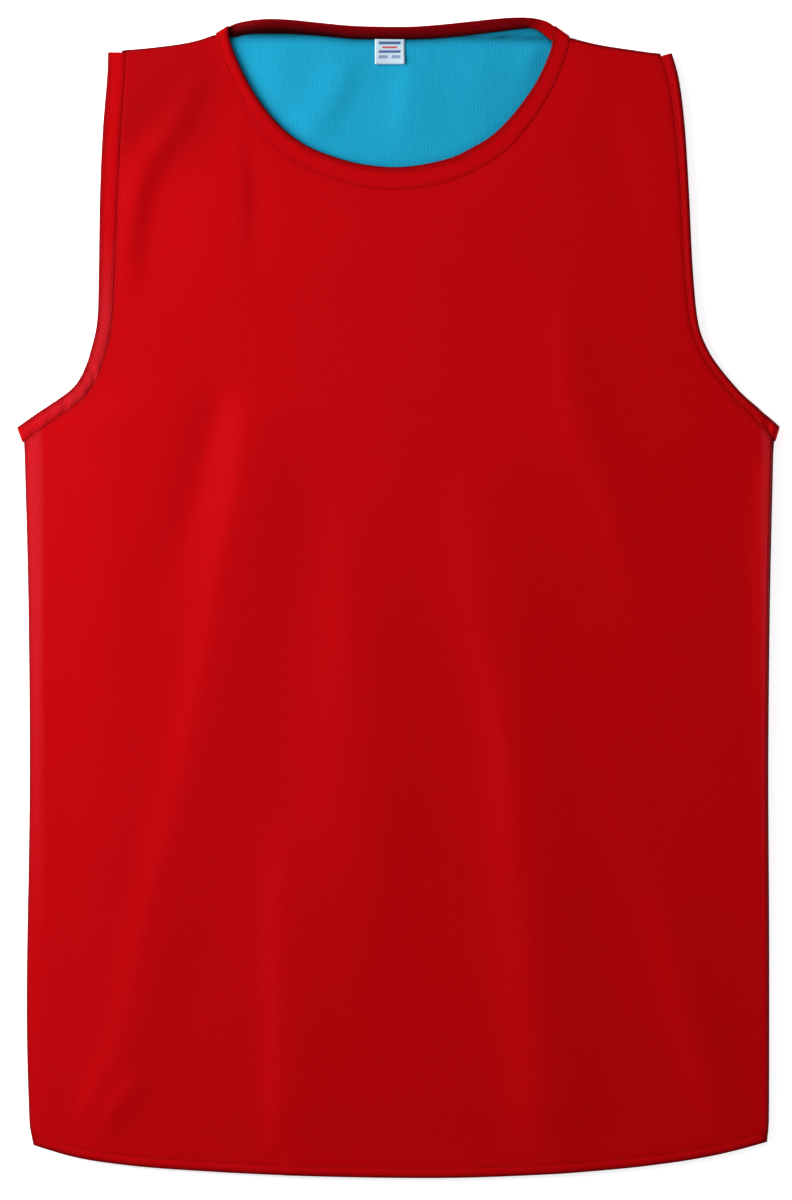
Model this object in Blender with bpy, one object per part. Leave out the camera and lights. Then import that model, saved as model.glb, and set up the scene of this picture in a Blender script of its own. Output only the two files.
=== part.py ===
"""A reversible training bib, laid flat on its back with the front up.

All sizes in this file are millimetres; the meshes are written in metres.
x runs across the bib, y from the hem to the neck, z up. The surface it lies on is z = 0,
and the origin is the middle of the bib's length and width.

Four walls of cloth lie on each other: back, back lining, front lining and front. A level
plane parts the back pair from the front pair. At the sides and shoulders the outer walls
turn down, or up, in a quarter circle to meet at that plane in a seam.
"""
import math

import bpy
import numpy as np

MM = 0.001

# ---------------------------------------------------------------- layers
WALL = 1.0                      # one wall of cloth
GAP = 0.3                       # between pieces that meet or lie on each other
HALF_GAP = GAP / 2
LINING_TOP = HALF_GAP + WALL    # heights counted from the level plane, outwards
OUTER_LOW = LINING_TOP + GAP
OUTER_TOP = OUTER_LOW + WALL
PLANE = OUTER_TOP               # the level plane's height: the back's outer side is at z = 0

# ---------------------------------------------------------------- turned edges
HEM = 5.0                       # the outer cloth turned in along the hem
BAND = 8.5                      # width of the folded bands
BAND_TOP = OUTER_TOP + 0.3      # the front's bands stand a little proud of the cloth
TURN_STEPS = 5                  # sections round the turn where a band doubles back
EDGE_LEVELS = 3                 # steps from the flat of a wall to its edge
EDGE_EASE = 1.5                 # how far in those steps begin, along a band
LINING_REACH = 0.4              # the lining runs this far into the turn of the outer wall
LINING_DROP = 0.15
SEAM_END = 4.0                  # a turned seam opens out over this length, where it meets a band
NEARLY_STRAIGHT = 0.35          # sine of the turn below which a corner is taken as none

# ---------------------------------------------------------------- outline, as (x, y)
ARMHOLE_LEFT = [(-176.5, 331.5), (-177.0, 315.5), (-179.5, 285.0), (-181.3, 245.0), (-182.0, 200.0),
                (-183.0, 168.0), (-187.0, 149.5), (-193.5, 136.0), (-203.5, 124.5), (-217.0, 114.0),
                (-231.5, 103.0)]
ARMHOLE_RIGHT = [(166.0, 331.0), (170.5, 314.0), (174.0, 285.0), (176.5, 245.0), (178.7, 200.0),
                 (182.0, 167.0), (188.0, 150.5), (196.0, 138.5), (208.5, 124.0), (218.5, 115.0),
                 (231.5, 103.5)]
SIDE_LEFT = [(-222.0, -332.5), (-224.2, -321.0), (-226.0, -244.5), (-224.2, -117.0), (-225.0, -1.0),
             (-227.5, 94.8)]
SIDE_RIGHT = [(222.0, -331.0), (224.2, -318.0), (225.0, -214.5), (224.4, -100.0), (225.3, -1.0),
              (227.5, 94.5)]
HEM_LINE = [(-222.0, -332.5), (-198.0, -339.5), (-174.5, -343.5), (-139.0, -347.0), (-64.5, -351.0),
            (20.0, -352.5), (82.0, -350.7), (131.0, -347.2), (165.0, -343.3), (188.5, -339.4),
            (205.5, -335.8), (222.0, -331.0)]
SHOULDER_LEFT = [(-145.0, 334.8), (-126.5, 337.6)]
SHOULDER_RIGHT = [(123.0, 335.8), (141.0, 333.0)]
NECK_CORNERS_FRONT = [(-110.3, 341.8), (104.9, 339.9)]
NECK_CORNERS_BACK = [(-109.7, 340.3), (103.7, 337.5)]

# the visible width of each armhole band, as (share of its length from the shoulder, width):
# the right one rolls under, so less of it shows on the front
BAND_LEFT_SHOWS = [(0.0, 8.5), (1.0, 8.5)]
BAND_RIGHT_SHOWS = [(0.0, 6.7), (0.3, 5.2), (0.75, 4.6), (0.92, 5.6), (1.0, 8.5)]

# neck band: its free edge and the edge that is sewn to the front and to the back
NECK_FREE_FRONT = [(-95.1, 346.9), (-98.3, 341.0), (-98.4, 334.0), (-96.6, 327.5), (-93.0, 320.0),
                   (-87.0, 309.0), (-79.5, 298.5), (-70.0, 287.5), (-57.0, 276.8), (-42.5, 269.0),
                   (-24.0, 263.3), (-4.5, 261.3), (15.0, 263.3), (34.5, 269.3), (49.5, 277.3),
                   (63.5, 288.0), (72.5, 298.5), (79.5, 309.0), (85.0, 320.0), (88.7, 330.5),
                   (90.6, 339.5), (88.5, 348.3)]
NECK_SEWN_FRONT = [(-109.1, 340.8), (-108.0, 336.0), (-106.7, 329.5), (-104.3, 322.5), (-100.5, 314.8),
                   (-94.3, 304.2), (-86.5, 293.2), (-76.0, 281.3), (-61.7, 269.4), (-45.7, 260.9),
                   (-25.6, 254.5), (-4.5, 252.3), (16.6, 254.5), (37.7, 261.0), (54.2, 269.8),
                   (69.5, 281.7), (79.5, 293.3), (87.0, 304.5), (93.2, 316.6), (97.5, 326.8),
                   (100.2, 332.5), (103.1, 338.0)]
NECK_FREE_BACK = [(88.5, 348.3), (85.0, 350.7), (79.0, 352.0), (72.0, 352.4), (50.0, 350.5), (28.0, 348.2),
                  (0.0, 346.6), (-28.0, 347.2), (-52.0, 349.3), (-72.0, 350.9), (-86.0, 350.5),
                  (-95.1, 346.9)]
NECK_SEWN_BACK = [(103.1, 338.0), (96.5, 339.0), (89.0, 342.6), (80.0, 344.8), (60.0, 344.0), (30.0, 340.3),
                  (0.0, 338.6), (-28.0, 340.0), (-56.0, 341.8), (-76.0, 342.5), (-96.0, 339.6),
                  (-109.1, 340.8)]

# ---------------------------------------------------------------- neck label
LABEL_MIDDLE = -5.3
LABEL_WIDTH = 18.0
LABEL_LENGTH = 15.3
LABEL_ROWS = 4

# ---------------------------------------------------------------- folds of the front
LOFT = 1.5                      # the front is not pressed flat: it lies this much loose
LOFT_EDGE = 12.0                # and rolls down to its side edges over this width
SHOULDER_EDGE = 30.0
HEM_LIFT = 0.6                  # share of a fold's height that is left at the hem

# each fold is a line of points with its height there (a trough's is negative) and half width
FOLDS = {
    "left ridge": [
        dict(x=-82, y=150, height=0.0, width=22), dict(x=-86, y=105, height=1.6, width=20),
        dict(x=-95, y=40, height=2.0, width=21), dict(x=-110, y=-40, height=1.8, width=22),
        dict(x=-138, y=-150, height=1.6, width=20), dict(x=-155, y=-220, height=1.2, width=17),
        dict(x=-180, y=-320, height=0.9, width=14)],
    "left trough": [
        dict(x=-112, y=130, height=0.0, width=13), dict(x=-117, y=95, height=-1.1, width=13),
        dict(x=-126, y=40, height=-1.0, width=14), dict(x=-150, y=-40, height=-0.4, width=18),
        dict(x=-170, y=-120, height=0.0, width=18)],
    "middle left ridge": [
        dict(x=-24, y=70, height=0.0, width=20), dict(x=-24, y=25, height=1.4, width=20),
        dict(x=-28, y=-60, height=1.9, width=21), dict(x=-34, y=-130, height=1.6, width=22),
        dict(x=-62, y=-200, height=1.7, width=18), dict(x=-67, y=-330, height=2.0, width=15)],
    "middle right ridge": [
        dict(x=52, y=110, height=0.0, width=24), dict(x=54, y=40, height=1.3, width=22),
        dict(x=70, y=-60, height=2.1, width=20), dict(x=79, y=-170, height=2.3, width=20),
        dict(x=88, y=-330, height=2.2, width=18)],
    "right ridge": [
        dict(x=112, y=-70, height=0.0, width=20), dict(x=140, y=-140, height=1.0, width=19),
        dict(x=168, y=-210, height=1.5, width=17), dict(x=196, y=-315, height=1.3, width=13)],
    "shoulder swell": [
        dict(x=-104, y=315, height=0.0, width=22), dict(x=-112, y=285, height=1.7, width=21),
        dict(x=-122, y=235, height=1.7, width=22), dict(x=-122, y=185, height=0.0, width=22)],
    "chest swell": [
        dict(x=96, y=190, height=0.0, width=24), dict(x=108, y=130, height=0.9, width=26),
        dict(x=130, y=50, height=0.8, width=28), dict(x=140, y=0, height=0.0, width=28)],
}

# ---------------------------------------------------------------- how finely walls are divided
# a wall meets a band at the band's own sections, so the two share their counts
ARMHOLE_ROWS = 12
FRONT_GRID = dict(shoulder=4, neck=24, side=15)
BACK_GRID = dict(shoulder=3, neck=12, side=8)

RED = (0.42, 0.001, 0.003)
BLUE = (0.016, 0.38, 0.63)
WHITE = (0.82, 0.85, 0.86)


# ---------------------------------------------------------------- paths
def resample(path, shares):
    """Points of a polyline at the given shares of its length."""
    path = np.asarray(path, float)
    steps = np.linalg.norm(np.diff(path, axis=0), axis=1)
    length = np.concatenate([[0.0], np.cumsum(steps)])
    at = np.asarray(shares) * length[-1]
    return np.stack([np.interp(at, length, path[:, axis]) for axis in range(path.shape[1])], axis=1)


def smooth(points, count):
    """Evenly spaced points on a smooth curve through the given ones."""
    p = np.array(points, float)
    p = np.vstack([2 * p[0] - p[1], p, 2 * p[-1] - p[-2]])
    fine = []
    for a, b, c, d in zip(p, p[1:], p[2:], p[3:]):
        for t in np.linspace(0.0, 1.0, 12, endpoint=False):
            fine.append(0.5 * (2 * b + (c - a) * t + (2 * a - 5 * b + 4 * c - d) * t ** 2
                               + (3 * b - a - 3 * c + d) * t ** 3))
    fine.append(p[-2])
    return resample(fine, np.linspace(0.0, 1.0, count))


def trim(path, start, end):
    """The path without its first and last few millimetres, with as many points."""
    length = np.linalg.norm(np.diff(path, axis=0), axis=1).sum()
    return resample(path, np.linspace(start / length, 1.0 - end / length, len(path)))


def seam(points, count, ends):
    """Evenly spaced points of a seam, whose last stretch at each named end is a short one."""
    path = smooth(points, 40)
    short = SEAM_END / np.linalg.norm(np.diff(path, axis=0), axis=1).sum()
    start, end = ("start" in ends), ("end" in ends)
    even = np.linspace(short if start else 0.0, 1.0 - short if end else 1.0, count + 1 - start - end)
    return resample(path, np.concatenate([[0.0][:start], even, [1.0][:end]]))


def beside(path, distance):
    """The path moved to its right, seen from above, by one distance or one a point."""
    along = np.gradient(path, axis=0)
    along /= np.linalg.norm(along, axis=1, keepdims=True)
    right = np.stack([along[:, 1], -along[:, 0]], axis=1)
    return path + right * np.reshape(distance, (-1, 1))


def graded(table, shares):
    """Values between the rows of a table of (share, value)."""
    table = np.array(table)
    return np.interp(shares, table[:, 0], table[:, 1])


# ---------------------------------------------------------------- height of the front
def ease(x):
    """0 below 0, 1 above 1, and smooth between."""
    x = np.clip(x, 0.0, 1.0)
    return x * x * (3.0 - 2.0 * x)


def roll(x):
    """0 below 0 and 1 above 1, steep at first, as a soft edge rolls over."""
    return 1.0 - (1.0 - np.clip(x, 0.0, 1.0)) ** 2


def edge_x(points, y):
    rows = np.array(sorted(points, key=lambda point: point[1]))
    return np.interp(y, rows[:, 1], rows[:, 0])


def fold_height(fold, xy):
    """Height of one fold at each point, from the nearest place on its line."""
    best = np.full(len(xy), 1e9)
    height = np.zeros(len(xy))
    for a, b in zip(fold, fold[1:]):
        start = np.array([a["x"], a["y"]], float)
        run = np.array([b["x"], b["y"]], float) - start
        share = np.clip((xy - start) @ run / (run @ run), 0.0, 1.0)
        off = np.linalg.norm(xy - start - share[:, None] * run, axis=1)
        width = a["width"] + (b["width"] - a["width"]) * share
        top = a["height"] + (b["height"] - a["height"]) * share
        nearer = off < best
        best = np.where(nearer, off, best)
        height = np.where(nearer, top * np.exp(-(off / width) ** 2), height)
    return height


def lift(xy):
    """How far the front stands above lying flat at each (x, y)."""
    xy = np.asarray(xy, float)
    x, y = xy[:, 0], xy[:, 1]
    left = edge_x(SIDE_LEFT + ARMHOLE_LEFT[::-1], y)
    right = edge_x(SIDE_RIGHT + ARMHOLE_RIGHT[::-1], y)
    shoulder = np.interp(x, *np.array(SHOULDER_LEFT + NECK_CORNERS_FRONT + SHOULDER_RIGHT).T)
    free = roll((x - left) / LOFT_EDGE) * roll((right - x) / LOFT_EDGE) * ease((shoulder - y) / SHOULDER_EDGE)
    hem = 1.0 - (1.0 - HEM_LIFT) * ease((-300.0 - y) / 40.0)
    folds = sum(fold_height(fold, xy) for fold in FOLDS.values())
    return np.maximum(free * (LOFT + folds) * hem, 0.0)


# ---------------------------------------------------------------- bands
def band_section(sewn, free, outward, turn, top):
    """One closed section of a band, 8 points, between its sewn and its free edge.

    turn is 0 on the front, pi on the back and between them where the band doubles back
    round the level plane; outward is the way that the turn bulges.
    """
    low, high = HALF_GAP, top
    thick = high - low
    shape = [(0.0, low), (0.88, low), (1.0, low + 0.3 * thick), (1.0, low + 0.7 * thick), (0.88, high - 0.12),
             (0.5, high), (0.06, high - 0.05), (0.0, high - 0.3)]
    normal = np.array([outward[0] * math.sin(turn), outward[1] * math.sin(turn), math.cos(turn)])
    points = []
    for across, out in shape:
        flat = sewn + (free - sewn) * across
        points.append(np.array([flat[0], flat[1], PLANE]) + normal * out)
    return np.array(points)


def band_turn(sewn, free, away, steps=TURN_STEPS):
    """Sections from the front leg to the back leg of a band, round the fold sewn-free."""
    across = free - sewn
    outward = np.array([across[1], -across[0]]) / np.linalg.norm(across)
    if outward @ away < 0:
        outward = -outward
    sections = []
    for step in range(1, steps + 1):
        share = step / (steps + 1)
        top = BAND_TOP + (OUTER_TOP - BAND_TOP) * share
        section = band_section(sewn, free, outward, math.pi * share, top)
        section[:, 2] += lift(section[:, :2]) * max(math.cos(math.pi * share), 0.0)
        sections.append(section)
    return sections


def band_leg(sewn, free, front):
    """Sections along one leg; the front's leg rises with the folds of the cloth."""
    sections = []
    for s, f in zip(sewn, free):
        section = band_section(s, f, (0, 0), 0.0 if front else math.pi, BAND_TOP if front else OUTER_TOP)
        if front:
            section[:, 2] += lift(section[:, :2])
        sections.append(section)
    return sections


def ring(sections, clockwise):
    """A closed tube through closed sections, which run clockwise or not seen from above."""
    count = len(sections[0])
    points = np.concatenate(sections)
    faces = []
    for i in range(len(sections)):
        here, there = i * count, (i + 1) % len(sections) * count
        for k in range(count):
            n = (k + 1) % count
            faces.append(flip((here + k, there + k, there + n, here + n), clockwise))
    return points, faces


def armhole_edges(side):
    """Free and sewn edges of an armhole band on the front and back, shoulder to underarm."""
    outline, shows = (ARMHOLE_LEFT, BAND_LEFT_SHOWS) if side < 0 else (ARMHOLE_RIGHT, BAND_RIGHT_SHOWS)
    free = trim(smooth(outline, ARMHOLE_ROWS + 1), OUTER_TOP, OUTER_TOP)
    width = graded(shows, np.linspace(0.0, 1.0, ARMHOLE_ROWS + 1))
    return free, beside(free, side * width), beside(free, side * BAND)


def armhole_band(side):
    free, sewn_front, sewn_back = armhole_edges(side)
    front = band_leg(sewn_front, free, front=True)
    back = band_leg(sewn_back, free, front=False)
    underarm = band_turn(sewn_front[-1], free[-1], free[-1] - free[-2])
    shoulder = band_turn(sewn_front[0], free[0], free[0] - free[1])
    return ring(front + underarm + back[::-1] + shoulder[::-1], clockwise=side > 0)


def neck_band():
    ahead, behind = FRONT_GRID["neck"] + 1, BACK_GRID["neck"] + 1
    front = band_leg(smooth(NECK_SEWN_FRONT, ahead), smooth(NECK_FREE_FRONT, ahead), front=True)
    back = band_leg(smooth(NECK_SEWN_BACK, behind), smooth(NECK_FREE_BACK, behind), front=False)
    right = band_turn(np.array(NECK_SEWN_BACK[0]), np.array(NECK_FREE_BACK[0]), np.array([0.0, 1.0]))
    left = band_turn(np.array(NECK_SEWN_BACK[-1]), np.array(NECK_FREE_BACK[-1]), np.array([0.0, 1.0]))
    return ring(front + right + back + left[::-1], clockwise=True)


# ---------------------------------------------------------------- walls of cloth
def flank(side, front, rows):
    """A wall's edge from the hem up the side seam and the armhole to the shoulder's tip."""
    side_seam = seam(SIDE_LEFT if side < 0 else SIDE_RIGHT, rows, ("end",))
    free, sewn_front, sewn_back = armhole_edges(side)
    line = beside(sewn_front if front else sewn_back, side * GAP)
    up = line[0] - line[1]
    tip = line[0] + up / np.linalg.norm(up) * (OUTER_TOP - GAP)
    return np.vstack([side_seam, line[1:-1][::-1], tip])


def wall_outline(front, grid):
    """A wall's outline, anticlockwise from the hem's left end, and the kind of each stretch.

    A stretch is the hem, is turned (at a side or shoulder) or is sewn (to a band).
    """
    shoulder, neck, side = grid["shoulder"], grid["neck"], grid["side"]
    columns = 2 * shoulder + neck
    neck_line = smooth(NECK_SEWN_FRONT, neck + 1) if front else smooth(NECK_SEWN_BACK, neck + 1)[::-1]
    bottom = smooth(HEM_LINE, columns + 1)
    left, right = flank(-1, front, side), flank(1, front, side)
    corners = NECK_CORNERS_FRONT if front else NECK_CORNERS_BACK
    both = ("start", "end")
    top = np.vstack([seam([left[-1]] + SHOULDER_LEFT + corners[:1], shoulder, both),
                     beside(neck_line, GAP)[1:-1],
                     seam(corners[1:] + SHOULDER_RIGHT + [right[-1]], shoulder, both)])
    points = np.vstack([bottom[:-1], right[:-1], top[::-1][:-1], left[::-1][:-1]])
    rows = ["turned"] * side + ["sewn"] * ARMHOLE_ROWS
    kinds = (["hem"] * columns + rows + ["turned"] * shoulder + ["sewn"] * neck + ["turned"] * shoulder + rows[::-1])
    return points, kinds


def inset(points, distances):
    """A closed outline with each edge moved inwards by its own distance.

    A corner moves to where its two edges cross. Where they are nearly in line it moves
    straight in, by the larger distance.
    """
    moved = []
    for i, here in enumerate(points):
        before = here - points[i - 1]
        after = points[(i + 1) % len(points)] - here
        out_a = np.array([before[1], -before[0]]) / np.linalg.norm(before)
        out_b = np.array([after[1], -after[0]]) / np.linalg.norm(after)
        turn = out_a[0] * out_b[1] - out_a[1] * out_b[0]
        a, b = distances[i - 1], distances[i]
        if abs(turn) < NEARLY_STRAIGHT:
            moved.append(here - (out_a + out_b) / 2 * max(a, b))
        else:
            moved.append(here - np.array([a * out_b[1] - b * out_a[1], b * out_a[0] - a * out_b[0]]) / turn)
    return np.array(moved)


def spread(bottom, right, top, left):
    """Rows of points that fill the space between four edges."""
    def shares(line):
        steps = np.linalg.norm(np.diff(line, axis=0), axis=1)
        return np.concatenate([[0.0], np.cumsum(steps)]) / steps.sum()
    across = ((shares(bottom) + shares(top)) / 2)[None, :, None]
    up = ((shares(left) + shares(right)) / 2)[:, None, None]
    ruled = (1 - up) * bottom[None] + up * top[None] + (1 - across) * left[:, None] + across * right[:, None]
    corners = ((1 - across) * (1 - up) * bottom[0] + across * (1 - up) * bottom[-1]
               + (1 - across) * up * top[0] + across * up * top[-1])
    return ruled - corners


def outer_levels():
    """Inset and height of the outer wall's two faces at each level, for each kind of edge."""
    levels = []
    hem_rows = [(HEM + 0.9, OUTER_TOP, OUTER_LOW), (HEM + 0.1, OUTER_TOP, OUTER_LOW),
                (HEM - 0.1, OUTER_TOP, HALF_GAP), (0.0, OUTER_TOP - 0.3, HALF_GAP)]
    for level in range(EDGE_LEVELS + 1):
        share = level / EDGE_LEVELS
        over = share * math.acos(HALF_GAP / OUTER_TOP)
        under = share * math.acos(HALF_GAP / OUTER_LOW)
        hem_inset, hem_top, hem_low = hem_rows[level]
        levels.append({
            "turned": ((OUTER_TOP * (1 - math.sin(over)), OUTER_TOP * math.cos(over)),
                       (OUTER_TOP - OUTER_LOW * math.sin(under), OUTER_LOW * math.cos(under))),
            "sewn": ((EDGE_EASE * (1 - share), OUTER_TOP), (EDGE_EASE * (1 - share), OUTER_LOW)),
            "hem": ((hem_inset, hem_top), (hem_inset, hem_low))})
    return levels


def lining_levels():
    levels = []
    for turned_in, sewn_in, hem_in, drop in ((OUTER_TOP, EDGE_EASE, HEM + 0.9, 0.0),
                                             (OUTER_TOP - LINING_REACH, 0.0, HEM + 0.4, LINING_DROP)):
        levels.append({
            "turned": ((turned_in, LINING_TOP - drop), (turned_in, HALF_GAP)),
            "sewn": ((sewn_in, LINING_TOP), (sewn_in, HALF_GAP)),
            "hem": ((hem_in, LINING_TOP), (hem_in, HALF_GAP))})
    return levels


def corner_height(level, face, before, after):
    """Height where two kinds of edge meet: a turned edge opens out to a band's height."""
    heights = [level[before][face][1], level[after][face][1]]
    return max(heights) if "sewn" in (before, after) else min(heights)


def wall(front, levels, grid):
    """One wall of cloth: a grid of points on each face, then rings of points to the edge."""
    outline, kinds = wall_outline(front, grid)
    columns = 2 * grid["shoulder"] + grid["neck"]
    rows = grid["side"] + ARMHOLE_ROWS
    around = len(outline)
    points, faces = [], []
    loops = []
    for face in (0, 1):
        first = len(points)
        inner = inset(outline, [levels[0][kind][face][0] for kind in kinds])
        loop = np.vstack([inner, inner[:1]])
        sheet = spread(loop[:columns + 1], loop[columns:columns + rows + 1],
                       loop[columns + rows:2 * columns + rows + 1][::-1],
                       loop[2 * columns + rows:][::-1])
        height = levels[0]["sewn"][face][1]
        for row in sheet:
            points += [(x, y, height) for x, y in row]

        def node(row, column):
            return first + row * (columns + 1) + column
        for r in range(rows):
            for c in range(columns):
                faces += halves(node(r, c), node(r, c + 1), node(r + 1, c + 1), node(r + 1, c), face)
        rim = ([node(0, c) for c in range(columns)] + [node(r, columns) for r in range(rows)]
               + [node(rows, c) for c in range(columns, 0, -1)] + [node(r, 0) for r in range(rows, 0, -1)])
        for level in levels[1:]:
            ring_line = inset(outline, [level[kind][face][0] for kind in kinds])
            start = len(points)
            for i, (x, y) in enumerate(ring_line):
                points.append((x, y, corner_height(level, face, kinds[i - 1], kinds[i])))
            for i in range(around):
                n = (i + 1) % around
                faces += halves(rim[i], start + i, start + n, rim[n], face)
            rim = list(range(start, start + around))
        loops.append(rim)
    for i in range(around):
        n = (i + 1) % around
        faces.append((loops[0][n], loops[0][i], loops[1][i], loops[1][n]))
    points = np.array(points)
    if front:
        points[:, 2] += PLANE + lift(points[:, :2])
        return points, faces
    points[:, 2] = PLANE - points[:, 2]
    return points, [face[::-1] for face in faces]


def flip(face, turned):
    return face[::-1] if turned else face


def halves(a, b, c, d, turned):
    """A four-sided face cut along a-c, so that walls on each other bend along the same lines."""
    return [flip((a, b, c), turned), flip((a, c, d), turned)]


# ---------------------------------------------------------------- label
def neck_label():
    """A plain tape under the back neck band, lying on the lining."""
    top = np.interp(LABEL_MIDDLE, *np.array(NECK_SEWN_BACK[::-1]).T) - GAP
    low = PLANE - HALF_GAP + GAP
    points, faces = [], []
    for row in range(LABEL_ROWS + 1):
        y = top - LABEL_LENGTH * row / LABEL_ROWS
        for x in (-LABEL_WIDTH / 2, LABEL_WIDTH / 2):
            for z in (low, low + WALL):
                points.append((LABEL_MIDDLE + x, y, z))
    for row in range(LABEL_ROWS):
        a, b = 4 * row, 4 * row + 4
        faces += [(a + 1, b + 1, b + 3, a + 3), (a, a + 2, b + 2, b), (a, b, b + 1, a + 1), (a + 2, a + 3, b + 3, b + 2)]
    last = 4 * LABEL_ROWS
    faces += [(0, 1, 3, 2), (last, last + 2, last + 3, last + 1)]
    return np.array(points), faces


# ---------------------------------------------------------------- objects
def material(name, colour, roughness):
    made = bpy.data.materials.new(name)
    made.use_nodes = True
    shader = made.node_tree.nodes["Principled BSDF"]
    shader.inputs["Base Color"].default_value = (*colour, 1.0)
    shader.inputs["Roughness"].default_value = roughness
    shader.inputs["Metallic"].default_value = 0.0
    return made


def add(name, shape, finish):
    points, faces = shape
    mesh = bpy.data.meshes.new(name)
    mesh.from_pydata([tuple(p) for p in np.asarray(points) * MM], [], [tuple(face) for face in faces])
    mesh.update()
    mesh.materials.append(finish)
    mesh.shade_smooth()
    mesh.set_sharp_from_angle(angle=math.radians(40))
    made = bpy.data.objects.new(name, mesh)
    bpy.context.scene.collection.objects.link(made)
    return made


def main():
    for old in list(bpy.data.objects):
        bpy.data.objects.remove(old)
    red_cloth = material("red_cloth", RED, 0.6)
    blue_cloth = material("blue_cloth", BLUE, 0.65)
    red_band = material("red_band", RED, 0.6)
    label_tape = material("label_tape", WHITE, 0.5)
    add("back_outer", wall(False, outer_levels(), BACK_GRID), red_cloth)
    add("back_lining", wall(False, lining_levels(), BACK_GRID), blue_cloth)
    add("front_lining", wall(True, lining_levels(), FRONT_GRID), blue_cloth)
    add("front_outer", wall(True, outer_levels(), FRONT_GRID), red_cloth)
    add("neck_band", neck_band(), red_band)
    add("armhole_band_left", armhole_band(-1), red_band)
    add("armhole_band_right", armhole_band(1), red_band)
    add("neck_label", neck_label(), label_tape)


main()
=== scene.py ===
"""The looks of a reversible training bib that lies flat, front up, on a pale floor.

Sizes are millimetres until a mesh is written, which is in metres in the part's own frame:
x across the bib, y from the hem to the neck, z up from the surface that it lies on.

Each piece of cloth is a thin shell on the form of its solid. The outer walls turn down, or
up, to meet in the side and shoulder seams, turn in at the hem, and dip where a band is sewn
on. Folds are soft ridges and troughs whose lines are set in the tables below.
"""
import math

import bpy
import numpy as np
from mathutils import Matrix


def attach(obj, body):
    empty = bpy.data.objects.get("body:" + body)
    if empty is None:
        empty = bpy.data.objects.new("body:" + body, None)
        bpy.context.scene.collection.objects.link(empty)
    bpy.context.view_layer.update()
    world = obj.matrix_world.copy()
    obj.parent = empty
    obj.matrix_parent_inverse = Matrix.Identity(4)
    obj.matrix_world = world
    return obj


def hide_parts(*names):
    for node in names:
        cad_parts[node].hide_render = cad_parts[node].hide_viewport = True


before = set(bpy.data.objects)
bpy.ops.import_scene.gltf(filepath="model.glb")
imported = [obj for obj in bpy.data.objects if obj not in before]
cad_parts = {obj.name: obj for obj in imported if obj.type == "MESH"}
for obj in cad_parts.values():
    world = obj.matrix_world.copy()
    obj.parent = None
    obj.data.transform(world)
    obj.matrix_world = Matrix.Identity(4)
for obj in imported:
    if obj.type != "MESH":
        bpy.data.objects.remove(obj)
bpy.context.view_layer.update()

MM = 0.001

# ---------------------------------------------------------------- layers, as in the solids
WALL = 1.0
GAP = 0.3
SEAM_GAP = 0.06                 # the drawn pieces almost touch at their seams
HALF_GAP = GAP / 2
LINING_TOP = HALF_GAP + WALL    # heights counted from the level plane, outwards
OUTER_LOW = LINING_TOP + GAP
OUTER_TOP = OUTER_LOW + WALL
PLANE = OUTER_TOP
CLOTH = 0.75                    # thickness of one wall of cloth as it is drawn here
LINING_CLOTH = 0.6
HEM = 5.0
BAND = 8.5
ARMHOLE_PINCH = 0.4             # a band's pressed ends bulge by this share of its height
NECK_PINCH = 0.12
BAND_TOP = OUTER_TOP + 0.3
SEAM_END = 6.5                  # a seam's first and last stretch, over its neighbour's inset
HEM_END = 12.0
NEARLY_STRAIGHT = 0.35          # two edges are in line if the sine of their turn is under this

# ---------------------------------------------------------------- outline, as (x, y)
ARMHOLE_LEFT = [(-176.5, 331.5), (-177.0, 315.5), (-179.5, 285.0), (-181.3, 245.0),
                (-182.0, 200.0), (-183.0, 168.0), (-187.3, 148.5), (-190.7, 138.8),
                (-194.4, 131.6), (-199.6, 125.8), (-207.8, 119.8), (-219.3, 112.2),
                (-231.8, 103.4)]
ARMHOLE_RIGHT = [(166.0, 331.0), (170.5, 314.0), (174.0, 285.0), (176.5, 245.0), (178.7, 200.0),
                 (182.0, 167.0), (188.0, 150.5), (196.0, 138.5), (208.5, 124.0), (218.5, 115.0),
                 (231.5, 103.5)]
SIDE_LEFT = [(-222.0, -332.5), (-224.2, -321.0), (-226.0, -244.5), (-224.2, -117.0),
             (-225.0, -1.0), (-227.5, 94.8)]
SIDE_RIGHT = [(224.2, -330.4), (225.0, -318.0), (225.0, -214.5), (224.4, -100.0), (225.3, -1.0),
              (227.5, 94.5)]
HEM_LINE = [(-222.0, -332.5), (-198.0, -339.5), (-174.5, -343.5), (-139.0, -347.0),
            (-64.5, -351.0), (20.0, -352.5), (82.0, -350.7), (131.0, -347.2), (165.0, -343.3),
            (188.5, -339.4), (206.5, -335.3), (224.2, -330.4)]
SHOULDER_LEFT = [(-145.0, 334.8), (-126.5, 337.6)]
SHOULDER_RIGHT = [(123.0, 335.8), (141.0, 333.0)]
NECK_CORNERS = [(-111.5, 342.0), (104.4, 340.1)]

# an armhole band's visible width, as (share of its length from the shoulder, width)
BAND_LEFT_SHOWS = [(0.0, 10.6), (0.25, 11.0), (0.42, 10.4), (0.63, 8.9), (1.0, 8.8)]
BAND_RIGHT_SHOWS = [(0.0, 6.7), (0.3, 5.2), (0.75, 4.6), (0.92, 5.6), (1.0, 8.5)]
UNDERARM_LEFT = np.array([-1.7, -2.2])      # its sewn edges run on at the underarm by this
UNDERARM_RIGHT = np.array([3.0, -2.6])
ARMHOLES = {-1: (ARMHOLE_LEFT, BAND_LEFT_SHOWS, UNDERARM_LEFT),
            1: (ARMHOLE_RIGHT, BAND_RIGHT_SHOWS, UNDERARM_RIGHT)}

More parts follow.
